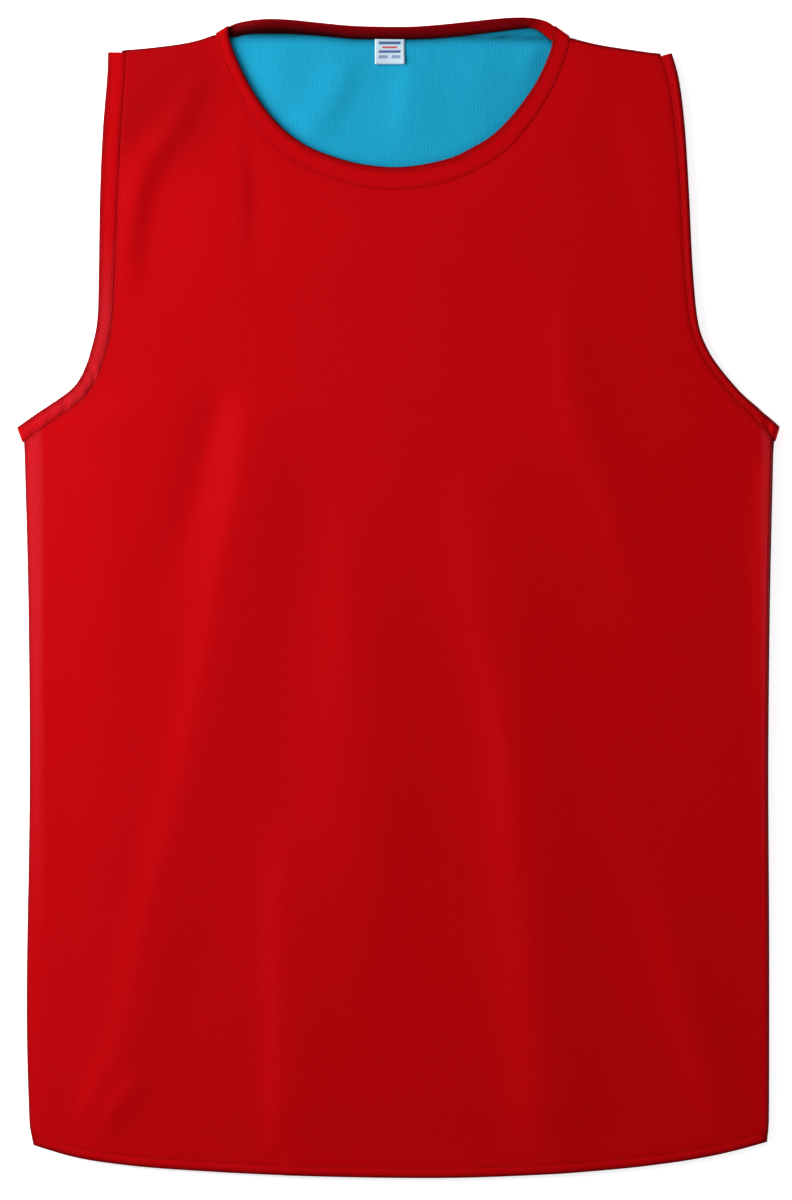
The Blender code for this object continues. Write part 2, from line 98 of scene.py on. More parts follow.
NECK_FREE_FRONT = [(-103.0, 347.2), (-103.0, 342.0), (-101.9, 337.2), (-100.2, 332.3),
                   (-98.1, 327.2), (-94.8, 319.9), (-89.0, 308.9), (-80.7, 296.7), (-69.8, 284.6),
                   (-56.5, 275.0), (-41.1, 268.5), (-24.0, 263.7), (-4.5, 261.5), (14.0, 263.0),
                   (32.2, 267.4), (44.1, 273.0), (56.3, 280.4), (67.1, 290.7), (76.8, 302.8),
                   (84.7, 315.0), (90.3, 327.2), (93.2, 335.5), (93.7, 341.0), (94.4, 347.2)]
NECK_SEWN_FRONT = [(-111.0, 342.2), (-110.0, 336.5), (-107.5, 326.5), (-101.5, 312.8),
                   (-93.8, 297.9), (-85.0, 285.1), (-73.9, 273.0), (-59.0, 262.6), (-44.4, 256.4),
                   (-29.4, 251.6), (-12.4, 248.5), (4.0, 248.2), (21.1, 250.7), (36.5, 255.0),
                   (51.4, 262.2), (66.2, 272.6), (77.1, 284.5), (86.0, 297.1), (94.6, 311.9),
                   (100.3, 326.2), (102.9, 335.0), (103.8, 340.3)]
NECK_FREE_BACK = [(94.4, 347.2), (92.0, 349.4), (88.0, 351.0), (81.9, 352.1), (74.6, 352.3),
                  (62.4, 351.7), (44.1, 349.8), (25.9, 347.9), (7.6, 346.6), (-10.7, 346.6),
                  (-28.9, 347.2), (-47.2, 348.9), (-65.4, 350.8), (-77.6, 351.3), (-86.1, 351.1),
                  (-93.4, 350.3), (-98.9, 349.1), (-103.0, 347.2)]
NECK_SEWN_BACK = [(103.8, 340.3), (98.0, 337.6), (92.6, 338.9), (88.0, 342.8), (82.0, 346.1),
                  (74.6, 345.9), (62.4, 344.4), (44.1, 342.1), (25.9, 340.2), (7.6, 339.4),
                  (-10.7, 339.4), (-28.9, 339.8), (-47.2, 341.5), (-65.4, 342.7), (-77.6, 342.8),
                  (-86.1, 342.8), (-93.4, 342.2), (-101.0, 340.6), (-111.0, 342.2)]

# ---------------------------------------------------------------- neck label
LABEL_MIDDLE = -5.3
LABEL_WIDTH = 18.0
LABEL_LENGTH = 15.3
LABEL_TAPE = 0.35               # thickness
LABEL_TUCK = 1.2                # how far its top edge runs in under the band
LABEL_GRID = (18, 16)           # columns and rows of its faces

# ---------------------------------------------------------------- how finely walls are divided
ARMHOLE_ROWS = 100
FRONT_GRID = dict(shoulder=22, neck=92, side=130)
BACK_GRID = dict(shoulder=18, neck=64, side=95)
TURN_STEPS = 11                 # sections round the end of a band

# ---------------------------------------------------------------- painted shade near the edges
EDGE_SHADE_WIDTH = 3.2                 # cloth is painted darker this near an edge, as painted shade,
EDGE_SHADE_DEPTH = {"hem": 1.0, "turned": 1.0, "sewn": 0.35}       # by these shares
BAND_SEAM_SHADE_WIDTH = 1.2                  # and a band this near its sewn edge
SHOULDER_PAINTED_SHADE = 0.28            # the left shoulder gets this share of painted shade,
SHOULDER_SHADE_Y = (240.0, 300.0)        # which sets in between these two y
SHOULDER_SHADE_X = (-95.0, -125.0)       # and these two x

# ---------------------------------------------------------------- loft and folds of the front
# the front is not pressed flat. It lies this much loose, as (y, height)
LOFT = [(-352, 1.2), (-300, 1.5), (-150, 2.4), (0, 2.8), (95, 2.8), (140, 2.0), (250, 1.5),
        (352, 1.5)]
LEFT_ROLL = 11.0                # its left edge is pressed: within this width
LEFT_PRESSED = 0.31             # it gains this share of the loft,
LEFT_RISE = 60.0                # and the rest within this one
RIGHT_ROLL = 1.5                # its right edge gains all of it here
ARMHOLE_LOFT = 0.75             # its armholes' edges keep this share of the loft
ARMHOLE_LOFT_Y = (105.0, 150.0)         # above the underarm, setting in between these two y
NECK_LOFT = 0.3                 # and the neck's this share, rising to all of it this far away
NECK_REACH = 35.0
SHOULDER_EDGE = 30.0            # the loft dies out over this length below the shoulder seams
HEM_LIFT = 0.6                  # share of its height that the front keeps at the hem,
HEM_LIFT_Y = (-300.0, -340.0)   # which sets in between these two y
NECK_SOFT = 0.6                 # the neck band's seam is this much shallower than the armholes'
NECK_SHUT = 0.9                 # and nearly shut at its left end,
NECK_SHUT_X = (-87.0, -101.0)   # which sets in between these two x
NECK_REGION_X = 125.0           # the neck band's seam lies within this much of the middle
NECK_REGION_Y = 240.0           # and above this y

# a fold is a line of points: (x, y, height, half width to its left, half width to its right).
# A trough's height is negative.
FOLDS = {
    "left ridge": [
        (-90, 127, 0.22, 12, 26), (-91, 102, 1.9, 12, 30), (-97, 60, 2.35, 12, 33),
        (-107, 11, 2.24, 13, 34), (-117, -50, 2.02, 13, 34), (-128, -105, 1.79, 13, 32),
        (-142, -160, 1.68, 12, 30), (-153, -208, 1.46, 12, 27), (-164, -257, 1.23, 11, 24),
        (-183, -312, 1.01, 10, 20)],
    "left trough": [
        (-110, 132, 0.0, 12, 9), (-112, 112, -1.01, 13, 9), (-118, 85, -1.34, 13, 9),
        (-127, 50, -1.12, 14, 10), (-142, 10, -0.67, 16, 12), (-160, -30, -0.22, 18, 14),
        (-172, -60, 0.0, 18, 14)],
    "middle left ridge": [
        (-30, 78, 0.0, 14, 30), (-29, 35, 1.23, 15, 34), (-27, -26, 2.02, 19, 36),
        (-25, -86, 2.35, 27, 36), (-24, -141, 2.35, 34, 34), (-26, -202, 1.79, 36, 32),
        (-30, -269, 1.01, 32, 30), (-34, -330, 0.56, 30, 30)],
    "lower left ridge": [
        (-68, -130, 0.0, 9, 22), (-70, -172, 1.23, 9, 24), (-71, -245, 1.68, 9, 26),
        (-71, -330, 1.79, 9, 26)],
    "middle right ridge": [
        (49, 100, 0.0, 20, 30), (50, 48, 1.34, 20, 34), (55, -13, 1.9, 18, 36),
        (65, -62, 2.46, 14, 38), (71, -117, 2.8, 15, 38), (77, -172, 3.14, 18, 36),
        (83, -232, 3.14, 19, 34), (88, -293, 2.91, 19, 32), (90, -330, 2.8, 18, 30)],
    "right ridge": [
        (118, -80, 0.0, 16, 24), (140, -140, 0.45, 14, 24), (156, -178, 0.9, 11, 22),
        (165, -208, 1.46, 10, 20), (175, -251, 1.68, 10, 20), (184, -281, 1.46, 10, 18),
        (195, -318, 1.12, 9, 15)],
    "shoulder ridge": [
        (-124, 322, 0.0, 12, 9), (-128, 309, 0.3, 12, 8), (-140, 285, 0.6, 11, 8),
        (-153, 264, 1.0, 10, 8), (-160, 242, 1.01, 9, 7), (-163, 212, 0.67, 9, 7),
        (-163, 186, 0.0, 9, 7)],
    "shoulder trough": [
        (-110, 318, 0.0, 9, 20), (-113, 306, -0.67, 9, 22), (-124, 281, -1.12, 9, 24),
        (-138, 260, -1.23, 9, 26), (-145, 242, -1.34, 9, 28), (-150, 218, -1.12, 9, 28),
        (-151, 194, -0.67, 9, 26), (-152, 175, 0.0, 9, 24)],
    "shoulder pleat": [
        (-124, 324, 0.0, 8, 11), (-134, 310, -0.8, 10, 11), (-148, 291, -1.1, 11, 11),
        (-157, 277, -0.95, 10, 9), (-164, 264, 0.0, 8, 8)],
    "collar crease": [
        (-91, 290, 0.0, 5, 10), (-90, 276, -0.45, 5, 10), (-87, 248, -0.73, 5, 11),
        (-88, 212, -0.45, 5, 11), (-89, 196, 0.0, 5, 11)],
    "right shoulder trough": [
        (118, 312, 0.0, 12, 14), (127, 290, -0.56, 12, 14), (135, 262, -0.78, 13, 14),
        (143, 225, -0.56, 14, 14), (148, 190, 0.0, 14, 14)],
    "chest swell": [
        (92, 196, 0.0, 22, 26), (98, 160, 0.67, 22, 28), (108, 120, 0.9, 24, 30),
        (124, 60, 0.67, 24, 30), (136, 10, 0.0, 24, 30)],
    "right seam": [
        (224.5, 86, 0.0, 5, 4), (224, 72, 1.34, 6, 4), (223.5, 40, 1.68, 6.5, 4),
        (223, -20, 1.34, 6.5, 4), (223, -70, 0.67, 6.5, 4), (223, -125, 0.0, 6.5, 4)],
    "chest ridge": [
        (97, 196, 0.0, 7, 14), (99, 170, 0.56, 7, 14), (107, 102, 0.67, 7, 16),
        (123, 72, 0.67, 7, 16), (136, 23, 0.56, 7, 16), (143, -8, 0.0, 7, 16)],
    "corner crease": [
        (-181, -276, 0.0, 4, 7), (-185, -294, 0.55, 4, 7), (-190, -308, 0.6, 4, 7),
        (-196, -323, 0.3, 4, 7)],
    "corner tuck": [
        (-156, -284, 0.0, 5, 9), (-162, -296, 0.67, 5, 9), (-174, -312, 0.9, 5, 9),
        (-182, -326, 0.45, 5, 9)],
}

# the back is pressed to the surface; it is drawn up from it along these soft creases
BACK_FOLDS = [
    [(-120, 260, 0.0, 10, 16), (-132, 200, 0.4, 10, 16), (-140, 130, 0.5, 12, 18),
     (-138, 60, 0.0, 12, 18)],
    [(40, 300, 0.0, 14, 20), (34, 240, 0.35, 14, 20), (22, 160, 0.5, 14, 22),
     (18, 90, 0.0, 14, 22)],
    [(130, 120, 0.0, 12, 10), (118, 40, 0.6, 12, 12), (112, -50, 0.7, 14, 12),
     (100, -150, 0.4, 14, 12), (94, -210, 0.0, 14, 12)],
    [(-60, 40, 0.0, 16, 12), (-66, -40, 0.5, 16, 12), (-78, -130, 0.7, 14, 12),
     (-92, -230, 0.5, 12, 12), (-100, -300, 0.0, 12, 12)],
    [(20, -60, 0.0, 12, 18), (26, -140, 0.4, 12, 18), (28, -220, 0.5, 12, 16),
     (34, -300, 0.0, 12, 16)],
    [(-168, -120, 0.0, 8, 10), (-172, -190, 0.5, 8, 10), (-182, -260, 0.4, 8, 10),
     (-188, -300, 0.0, 8, 10)],
    [(172, -60, 0.0, 9, 12), (176, -150, 0.45, 9, 12), (184, -240, 0.5, 9, 12),
     (190, -300, 0.0, 9, 12)],
]


# ---------------------------------------------------------------- paths
def resample(path, shares):
    """Points of a polyline at the given shares of its length."""
    path = np.asarray(path, float)
    steps = np.linalg.norm(np.diff(path, axis=0), axis=1)
    length = np.concatenate([[0.0], np.cumsum(steps)])
    at = np.asarray(shares) * length[-1]
    return np.stack([np.interp(at, length, values) for values in path.T], axis=1)


def through(points, steps=12):
    """A smooth curve through the given points, with some steps between each two."""
    p = np.array(points, float)
    p = np.vstack([2 * p[0] - p[1], p, 2 * p[-1] - p[-2]])
    fine = []
    for a, b, c, d in zip(p, p[1:], p[2:], p[3:]):
        for t in np.linspace(0.0, 1.0, steps, endpoint=False):
            fine.append(0.5 * (2 * b + (c - a) * t + (2 * a - 5 * b + 4 * c - d) * t ** 2
                               + (3 * b - a - 3 * c + d) * t ** 3))
    fine.append(p[-2])
    return np.array(fine)


def smooth(points, count):
    """Evenly spaced points on a smooth curve through the given ones."""
    return resample(through(points), np.linspace(0.0, 1.0, count))


def length_of(path):
    """The length of a polyline."""
    return np.linalg.norm(np.diff(path, axis=0), axis=1).sum()


def trim(path, start, end):
    """The path without its first and last few millimetres, with as many points."""
    length = length_of(path)
    return resample(path, np.linspace(start / length, 1.0 - end / length, len(path)))


def seam(points, count, start, end):
    """Evenly spaced points of a seam, but for a first and a last stretch of the given lengths."""
    path = smooth(points, 120)
    length = length_of(path)
    even = np.linspace(start / length, 1.0 - end / length, count + 1 - bool(start) - bool(end))
    return resample(path, np.concatenate([[0.0] * bool(start), even, [1.0] * bool(end)]))


def beside(path, distance):
    """The path moved to its right, seen from above, by one distance or one a point."""
    along = np.gradient(path, axis=0)
    along /= np.linalg.norm(along, axis=1, keepdims=True)
    right = np.stack([along[:, 1], -along[:, 0]], axis=1)
    return path + right * np.reshape(distance, (-1, 1))


def graded(table, shares):
    """Values between the rows of a table of (share, value)."""
    table = np.array(table)
    return np.interp(shares, table[:, 0], table[:, 1])


# ---------------------------------------------------------------- height of the front
def ease(x):
    """0 below 0, 1 above 1, and smooth between."""
    x = np.clip(x, 0.0, 1.0)
    return x * x * (3.0 - 2.0 * x)


def between(x, start, end):
    """0 before the start, 1 past the end, and smooth between."""
    return ease((x - start) / (end - start))


def roll(x):
    """0 below 0 and 1 above 1: an even slope first, which then eases into the level."""
    x = np.clip(x, 0.0, 1.0)
    bend = np.maximum(x - 0.6, 0.0) / 0.4
    return (x - 0.2 * bend ** 2) / 0.8


def edge_x(points, y):
    """Where a side's edge lies at each height."""
    rows = np.array(sorted(points, key=lambda point: point[1]))
    return np.interp(y, rows[:, 1], rows[:, 0])


def fold_height(table, xy):
    """Height of one fold at each point, from the nearest place on its line."""
    fold = through(table, 5)
    if fold[0, 1] < fold[-1, 1]:
        fold = fold[::-1]
    reach = 2.6 * fold[:, 3:].max()
    low, high = fold[:, :2].min(axis=0) - reach, fold[:, :2].max(axis=0) + reach
    near = np.all((xy > low) & (xy < high), axis=1)
    spots = xy[near]
    best = np.full(len(spots), 1e9)
    height = np.zeros(len(spots))
    for a, b in zip(fold, fold[1:]):
        run = b[:2] - a[:2]
        share = np.clip((spots - a[:2]) @ run / (run @ run), 0.0, 1.0)
        off = spots - a[:2] - share[:, None] * run
        away = np.linalg.norm(off, axis=1)
        row = a[None] + (b - a)[None] * share[:, None]
        left = run[0] * off[:, 1] - run[1] * off[:, 0] < 0.0    # a line runs downwards
        width = np.where(left, row[:, 3], row[:, 4])
        nearer = away < best
        best = np.where(nearer, away, best)
        height = np.where(nearer, row[:, 2] * np.exp(-(away / width) ** 2), height)
    total = np.zeros(len(xy))
    total[near] = height
    return total


def lift(xy):
    """How far the front stands above lying flat at each (x, y)."""
    xy = np.asarray(xy, float)
    x, y = xy[:, 0], xy[:, 1]
    left = edge_x(SIDE_LEFT + ARMHOLE_LEFT[::-1], y)
    right = edge_x(SIDE_RIGHT + ARMHOLE_RIGHT[::-1], y)
    shoulder = np.interp(x, *np.array(SHOULDER_LEFT + NECK_CORNERS + SHOULDER_RIGHT).T)
    held = ARMHOLE_LOFT * between(y, *ARMHOLE_LOFT_Y)
    rise = (LEFT_PRESSED * roll((x - left) / LEFT_ROLL)
            + (1.0 - LEFT_PRESSED) * ease((x - left) / LEFT_RISE))
    sides = held + (1.0 - held) * rise * roll((right - x) / RIGHT_ROLL)
    neck = np.ones(len(xy))
    near = (np.abs(x) < 150) & (y > 210)
    away = away_from(smooth(NECK_FREE_FRONT, 50), xy[near])
    neck[near] = NECK_LOFT + (1.0 - NECK_LOFT) * ease(away / NECK_REACH)
    free = sides * neck * ease((shoulder - y) / SHOULDER_EDGE)
    hem = 1.0 - (1.0 - HEM_LIFT) * between(y, *HEM_LIFT_Y)
    folds = sum(fold_height(fold, xy) for fold in FOLDS.values())
    return np.maximum(free * (graded(LOFT, y) + folds) * hem, 0.0)


# ---------------------------------------------------------------- meshes
def make(name, points, faces, cut, painted_shade, finish, thickness):
    """A shell of cloth on the faces between the points.

    Cut is the flat place of each face corner, in mm, and painted_shade is each point's share of
    painted shade: 1 where a point lies on a folded or sewn edge and 0 away from it.
    """
    mesh = bpy.data.meshes.new(name)
    mesh.from_pydata((np.asarray(points) * MM).tolist(), [],
                     [tuple(int(i) for i in face) for face in faces])
    layer = mesh.uv_layers.new(name="cut")
    layer.data.foreach_set("uv", (np.asarray(cut) * MM).astype(np.float32).ravel())
    painted_shade_layer = mesh.attributes.new("painted_shade", "FLOAT", "POINT")
    painted_shade_layer.data.foreach_set("value", np.asarray(painted_shade, np.float32))
    mesh.materials.append(finish)
    mesh.shade_smooth()
    mesh.update()
    made = bpy.data.objects.new(name, mesh)
    bpy.context.scene.collection.objects.link(made)
    shell = made.modifiers.new("thickness", "SOLIDIFY")
    shell.thickness = thickness * MM
    shell.offset = -1.0
    shell.use_even_offset = False
    return made


def corners_of(faces, flat_points):
    """The flat place of each face corner, from one place a point."""
    return np.asarray(flat_points)[np.concatenate([np.asarray(face) for face in faces])]


# ---------------------------------------------------------------- bands
STITCH_ROOM = 6.4               # a band narrower than this has its stitches nearer its seam
GROOVE = 16                     # the profile's point at the bottom of the stitch groove
INSIDE_POINTS = 7               # its points on the band's inner side, counted from the sewn edge


def band_profile(width, low, high):
    """Across a folded band, from under its sewn edge round the fold and back over the top.

    Each point is (distance from the sewn edge, height). The row of stitches lies in a
    shallow groove, and the top edge dips into the seam.
    """
    half = (high - low) / 2
    under = [(0.0, low), (width * 0.3, low), (width * 0.6, low)]
    fold = [(width - half + half * math.cos(turn), (low + high) / 2 + half * math.sin(turn))
            for turn in np.linspace(-math.pi / 2, math.pi / 2, 9)]
    near = min(1.0, width / STITCH_ROOM)
    top = [(width * 0.62, high + 0.04), (width * 0.42, high + 0.02), (2.6 * near, high - 0.04),
           (2.0 * near, high - 0.08), (1.6 * near, high - 0.16), (1.2 * near, high - 0.15),
           (0.8 * near, high - 0.2), (0.4 * near, high - 0.27), (0.1, high - 0.33),
           (0.0, high - 0.5)]
    return np.array(under + fold + top)


def band_section(sewn, free, outward, turn, top):
    """A band's profile from its sewn to its free edge, turned about the line between them."""
    width = np.linalg.norm(free - sewn)
    normal = np.array([*(np.asarray(outward) * math.sin(turn)), math.cos(turn)])
    across = (free - sewn) / width
    return np.array([np.array([*(sewn + across * distance), PLANE]) + normal * out
                     for distance, out in band_profile(width, HALF_GAP, top)])


def band_turn(sewn, free, away, pinch):
    """Sections round a band's end, from its front leg to its back leg."""
    across = free - sewn
    outward = np.array([across[1], -across[0]]) / np.linalg.norm(across)
    if outward @ away < 0:
        outward = -outward
    sections = []
    for step in range(1, TURN_STEPS + 1):
        share = step / (TURN_STEPS + 1)
        top = BAND_TOP + (OUTER_TOP - BAND_TOP) * share
        section = band_section(sewn, free, outward * pinch, math.pi * share, top)
        section[:, 2] += lift(section[:, :2]) * max(math.cos(math.pi * share), 0.0)
        sections.append(section)
    return sections


def band_leg(sewn, free, front):
    """Sections along one leg; the front's leg rises with the folds of the cloth."""
    turn, top = (0.0, BAND_TOP) if front else (math.pi, OUTER_TOP)
    sections = [band_section(s, f, (0, 0), turn, top) for s, f in zip(sewn, free)]
    if front:
        flat = np.concatenate(sections)
        flat[:, 2] += lift(flat[:, :2])
        sections = list(flat.reshape(len(sections), -1, 3))
    return sections


def strip(sections, clockwise):
    """A ring through open sections: its points and faces, the flat place of each face corner,
    the points' shares of painted shade, and the flat strip's width and length.
    """
    count = len(sections[0])
    points = np.concatenate(sections)
    middles = np.array([section.mean(axis=0) for section in sections + sections[:1]])
    along = np.concatenate([[0.0], np.cumsum(np.linalg.norm(np.diff(middles, axis=0), axis=1))])
    steps = [np.linalg.norm(np.diff(section, axis=0), axis=1) for section in sections]
    across = np.concatenate([[0.0], np.cumsum(np.median(steps, axis=0))])
    faces, cut = [], []
    for i in range(len(sections)):
        here, there = i * count, (i + 1) % len(sections) * count
        for k in range(count - 1):
            face = [here + k, there + k, there + k + 1, here + k + 1]
            flat = [(across[k], along[i]), (across[k], along[i + 1]),
                    (across[k + 1], along[i + 1]), (across[k + 1], along[i])]
            faces.append(face[::-1] if clockwise else face)
            cut += flat[::-1] if clockwise else flat
    # painted shade at the band's free edge and its seam, and on its inner side, deepest at the
    # sewn edge
    painted_shade = []
    for section in sections:
        away = np.linalg.norm(section[:, :2] - section[0, :2], axis=1)
        edge = np.clip(1.0 - (away.max() - away) / EDGE_SHADE_WIDTH, 0.0, 1.0)
        seam_side = EDGE_SHADE_DEPTH["sewn"] * np.clip(1.0 - away / BAND_SEAM_SHADE_WIDTH, 0.0, 1.0)
        share = np.maximum(edge, seam_side)
        share[:INSIDE_POINTS] = 1.0 - away[:INSIDE_POINTS] / away.max()
        painted_shade.append(share)
    return points, faces, cut, np.concatenate(painted_shade), (across[-1], along[-1])


def armhole_edges(side):
    """Free and sewn edges of an armhole band on the front and back, shoulder to underarm."""
    outline, shows, run_on = ARMHOLES[side]
    bulge = OUTER_TOP * ARMHOLE_PINCH
    free = trim(smooth(outline, ARMHOLE_ROWS + 1), bulge, bulge)
    width = graded(shows, np.linspace(0.0, 1.0, ARMHOLE_ROWS + 1))
    last_tenth = ease(np.linspace(-8.6, 1.0, ARMHOLE_ROWS + 1))     # 0 before it, and 1 at its end
    slant = last_tenth[:, None] * run_on
    return free, beside(free, side * width) + slant, beside(free, side * BAND) + slant


# small creases across the armhole bands: (share from the shoulder, depth, half width, slant)
PUCKERS_LEFT = [(0.30, 0.12, 2.6, -1.0), (0.47, 0.15, 2.6, -1.5), (0.66, 0.25, 2.4, -2.0),
                (0.735, 0.35, 2.3, -3.0), (0.77, 1.2, 2.1, -4.5), (0.80, 0.9, 2.0, -3.0),
                (0.835, 0.5, 2.2, -2.0), (0.865, 0.6, 2.3, -3.5), (0.91, 0.35, 2.2, -2.0),
                (0.955, 0.35, 2.4, -3.0)]
PUCKERS_RIGHT = [(0.22, 0.10, 2.6, 0.3), (0.5, 0.12, 2.6, 0.2), (0.7, 0.15, 2.5, -0.3),
                 (0.84, 0.18, 2.4, -1.0), (0.965, 1.4, 2.2, -3.0), (0.99, -0.4, 3.0, -3.0)]


def pucker(sections, table, outline_length):
    """Presses the creases across a front leg into its top face."""
    for i, section in enumerate(sections):
        at = i / (len(sections) - 1)
        across = np.linspace(-1.0, 1.0, len(section))
        for share, depth, width, slant in table:
            off = (at - share) * outline_length + slant * across * 2.0
            top_side = ease((section[:, 2] - PLANE) / BAND_TOP)
            section[:, 2] -= depth * np.exp(-(off / width) ** 2) * top_side


def armhole_band(side):
    """An armhole's band as one ring, and its lines of stitches on the front and the back."""
    free, sewn_front, sewn_back = armhole_edges(side)
    front = band_leg(sewn_front, free, front=True)
    back = band_leg(sewn_back, free, front=False)
    pucker(front, PUCKERS_LEFT if side < 0 else PUCKERS_RIGHT, length_of(free))
    underarm = band_turn(sewn_front[-1], free[-1], free[-1] - free[-2], ARMHOLE_PINCH)
    shoulder = band_turn(sewn_front[0], free[0], free[0] - free[1], ARMHOLE_PINCH)
    lines = [np.array([section[GROOVE] for section in leg]) for leg in (front, back)]
    return strip(front + underarm + back[::-1] + shoulder[::-1], clockwise=side > 0), lines


COLLAR_RISE = 4.6               # the back neck band stands up this much at its free edge
COLLAR_FOOT = 0.7               # and this much at its sewn edge
COLLAR_STARTS = 9.0             # within this many sections from its ends
COLLAR_PAINTED_SHADE = 0.22            # its inner side gets this much painted shade at its left end, which sets in between these two x, and this much painted light at its right one
COLLAR_SHADED_X = (-20.0, -70.0)        # which sets in between these two x,
COLLAR_PAINTED_LIGHT = 0.25             # and this much paler at its right one
COLLAR_LIT_X = (0.0, 60.0)
COLLAR_TURNS = 79.0             # right of this x it shows its outer side, where its painted shade fades out to none past this x, from this much painted shade where it turns
COLLAR_TURNED = 91.0            # whose colour is plain again past this one
COLLAR_TURN_SHADE = 0.8           # and this deep where it turns


def stand_up(section, amount):
    """Tips a section of the back neck band up towards its free edge."""
    away = np.linalg.norm(section[:, :2] - section[0, :2], axis=1)
    share = away / away.max()
    section[:, 2] += amount * (COLLAR_FOOT + COLLAR_RISE * share ** 1.3)


def neck_shut(xy):
    """How far the front's seam with the neck band is shut, and 0 for the armholes' seams."""
    x, y = np.asarray(xy, float).T
    share = NECK_SOFT + (NECK_SHUT - NECK_SOFT) * between(x, *NECK_SHUT_X)
    return share * ((np.abs(x) < NECK_REGION_X) & (y > NECK_REGION_Y))


def neck_band():
    """The neck's band as one ring, and its lines of stitches on the front and the back.

    Its seam on the front is shallower than the armholes', and its back leg stands up.
    """
    ahead, behind = FRONT_GRID["neck"] + 1, BACK_GRID["neck"] + 1
    front = band_leg(smooth(NECK_SEWN_FRONT, ahead), smooth(NECK_FREE_FRONT, ahead), front=True)
    back = band_leg(smooth(NECK_SEWN_BACK, behind), smooth(NECK_FREE_BACK, behind), front=False)
    dips = band_profile(BAND, 0.0, 0.0)[GROOVE:, 1]     # heights counted from the band's top
    for section in front:
        section[GROOVE:, 2] -= dips * neck_shut(section[GROOVE:, :2])
    for i, section in enumerate(back):
        stand_up(section, ease(min(i, behind - 1 - i) / COLLAR_STARTS))
    right, left = (band_turn(np.array(NECK_SEWN_BACK[end]), np.array(NECK_FREE_BACK[end]),
                             np.array([0.0, 1.0]), NECK_PINCH) for end in (0, -1))
    lines = [np.array([section[GROOVE] for section in leg]) for leg in (front, back)]
    shape = strip(front + right + back + left[::-1], clockwise=True)
    points, painted_shade = shape[0], shape[3]
    inner = np.arange(len(points)) % len(front[0]) < INSIDE_POINTS
    x = points[inner, 0]
    # painted shade at the collar's left end and painted light at its right end
    painted_shade[inner] += (COLLAR_PAINTED_SHADE * between(x, *COLLAR_SHADED_X)
                   - COLLAR_PAINTED_LIGHT * between(x, *COLLAR_LIT_X))
    # painted shade where the collar turns, fading out to the right
    turned = inner & (points[:, 0] > COLLAR_TURNS)
    plain = between(points[turned, 0], COLLAR_TURNS, COLLAR_TURNED)
    painted_shade[turned] = COLLAR_TURN_SHADE * (1.0 - plain)
    sewn = np.arange(len(points)) % len(front[0]) >= GROOVE
    painted_shade[sewn] *= 1.0 - neck_shut(points[sewn, :2])
    return shape, lines


# ---------------------------------------------------------------- walls of cloth
def flank(side, front, rows):
    """A wall's edge from the hem up the side seam and the armhole to the shoulder's tip."""
    side_seam = seam(SIDE_LEFT if side < 0 else SIDE_RIGHT, rows, HEM_END, SEAM_END)
    _, sewn_front, sewn_back = armhole_edges(side)
    line = beside(sewn_front if front else sewn_back, side * SEAM_GAP)
    up = line[0] - line[1]
    tip = line[0] + up / np.linalg.norm(up) * (OUTER_TOP - SEAM_GAP)
    return np.vstack([side_seam, line[1:-1][::-1], tip])


def wall_outline(front, grid):
    """A wall's outline, anticlockwise from the hem's left end, and the kind of each stretch."""
    shoulder, neck, side = grid["shoulder"], grid["neck"], grid["side"]
    columns = 2 * shoulder + neck
    neck_line = smooth(NECK_SEWN_FRONT if front else NECK_SEWN_BACK, neck + 1)
    if not front:
        neck_line = neck_line[::-1]
    bottom = smooth(HEM_LINE, columns + 1)
    left, right = flank(-1, front, side), flank(1, front, side)
    left_shoulder = [left[-1]] + SHOULDER_LEFT + NECK_CORNERS[:1]
    right_shoulder = NECK_CORNERS[1:] + SHOULDER_RIGHT + [right[-1]]
    top = np.vstack([seam(left_shoulder, shoulder, SEAM_END, SEAM_END),
                     beside(neck_line, SEAM_GAP)[1:-1],
                     seam(right_shoulder, shoulder, SEAM_END, SEAM_END)])
    points = np.vstack([bottom[:-1], right[:-1], top[::-1][:-1], left[::-1][:-1]])
    rows = ["turned"] * side + ["sewn"] * ARMHOLE_ROWS
    over_the_top = ["turned"] * shoulder + ["sewn"] * neck + ["turned"] * shoulder
    return points, ["hem"] * columns + rows + over_the_top + rows[::-1]


def inset(points, distances):
    """A closed outline with each edge moved inwards by its own distance.

    A corner moves to where its two edges cross. Where they are nearly in line it moves
    straight in, by the larger distance.
    """
    moved = []
    for i, here in enumerate(points):
        before = here - points[i - 1]
        after = points[(i + 1) % len(points)] - here
        out_a = np.array([before[1], -before[0]]) / np.linalg.norm(before)
        out_b = np.array([after[1], -after[0]]) / np.linalg.norm(after)
        turn = out_a[0] * out_b[1] - out_a[1] * out_b[0]
        a, b = distances[i - 1], distances[i]
        if abs(turn) < NEARLY_STRAIGHT:
            moved.append(here - (out_a + out_b) / 2 * max(a, b))
        else:
            crossing = np.array([a * out_b[1] - b * out_a[1], b * out_a[0] - a * out_b[0]])
            moved.append(here - crossing / turn)
    return np.array(moved)


def spread(bottom, right, top, left):
    """Rows of points that fill the space between four edges."""
    def shares(line):
        steps = np.linalg.norm(np.diff(line, axis=0), axis=1)
        return np.concatenate([[0.0], np.cumsum(steps)]) / steps.sum()
    across = ((shares(bottom) + shares(top)) / 2)[None, :, None]
    up = ((shares(left) + shares(right)) / 2)[:, None, None]
    ruled = ((1 - up) * bottom[None] + up * top[None]
             + (1 - across) * left[:, None] + across * right[:, None])
    corners = ((1 - across) * (1 - up) * bottom[0] + across * (1 - up) * bottom[-1]
               + (1 - across) * up * top[0] + across * up * top[-1])
    return ruled - corners


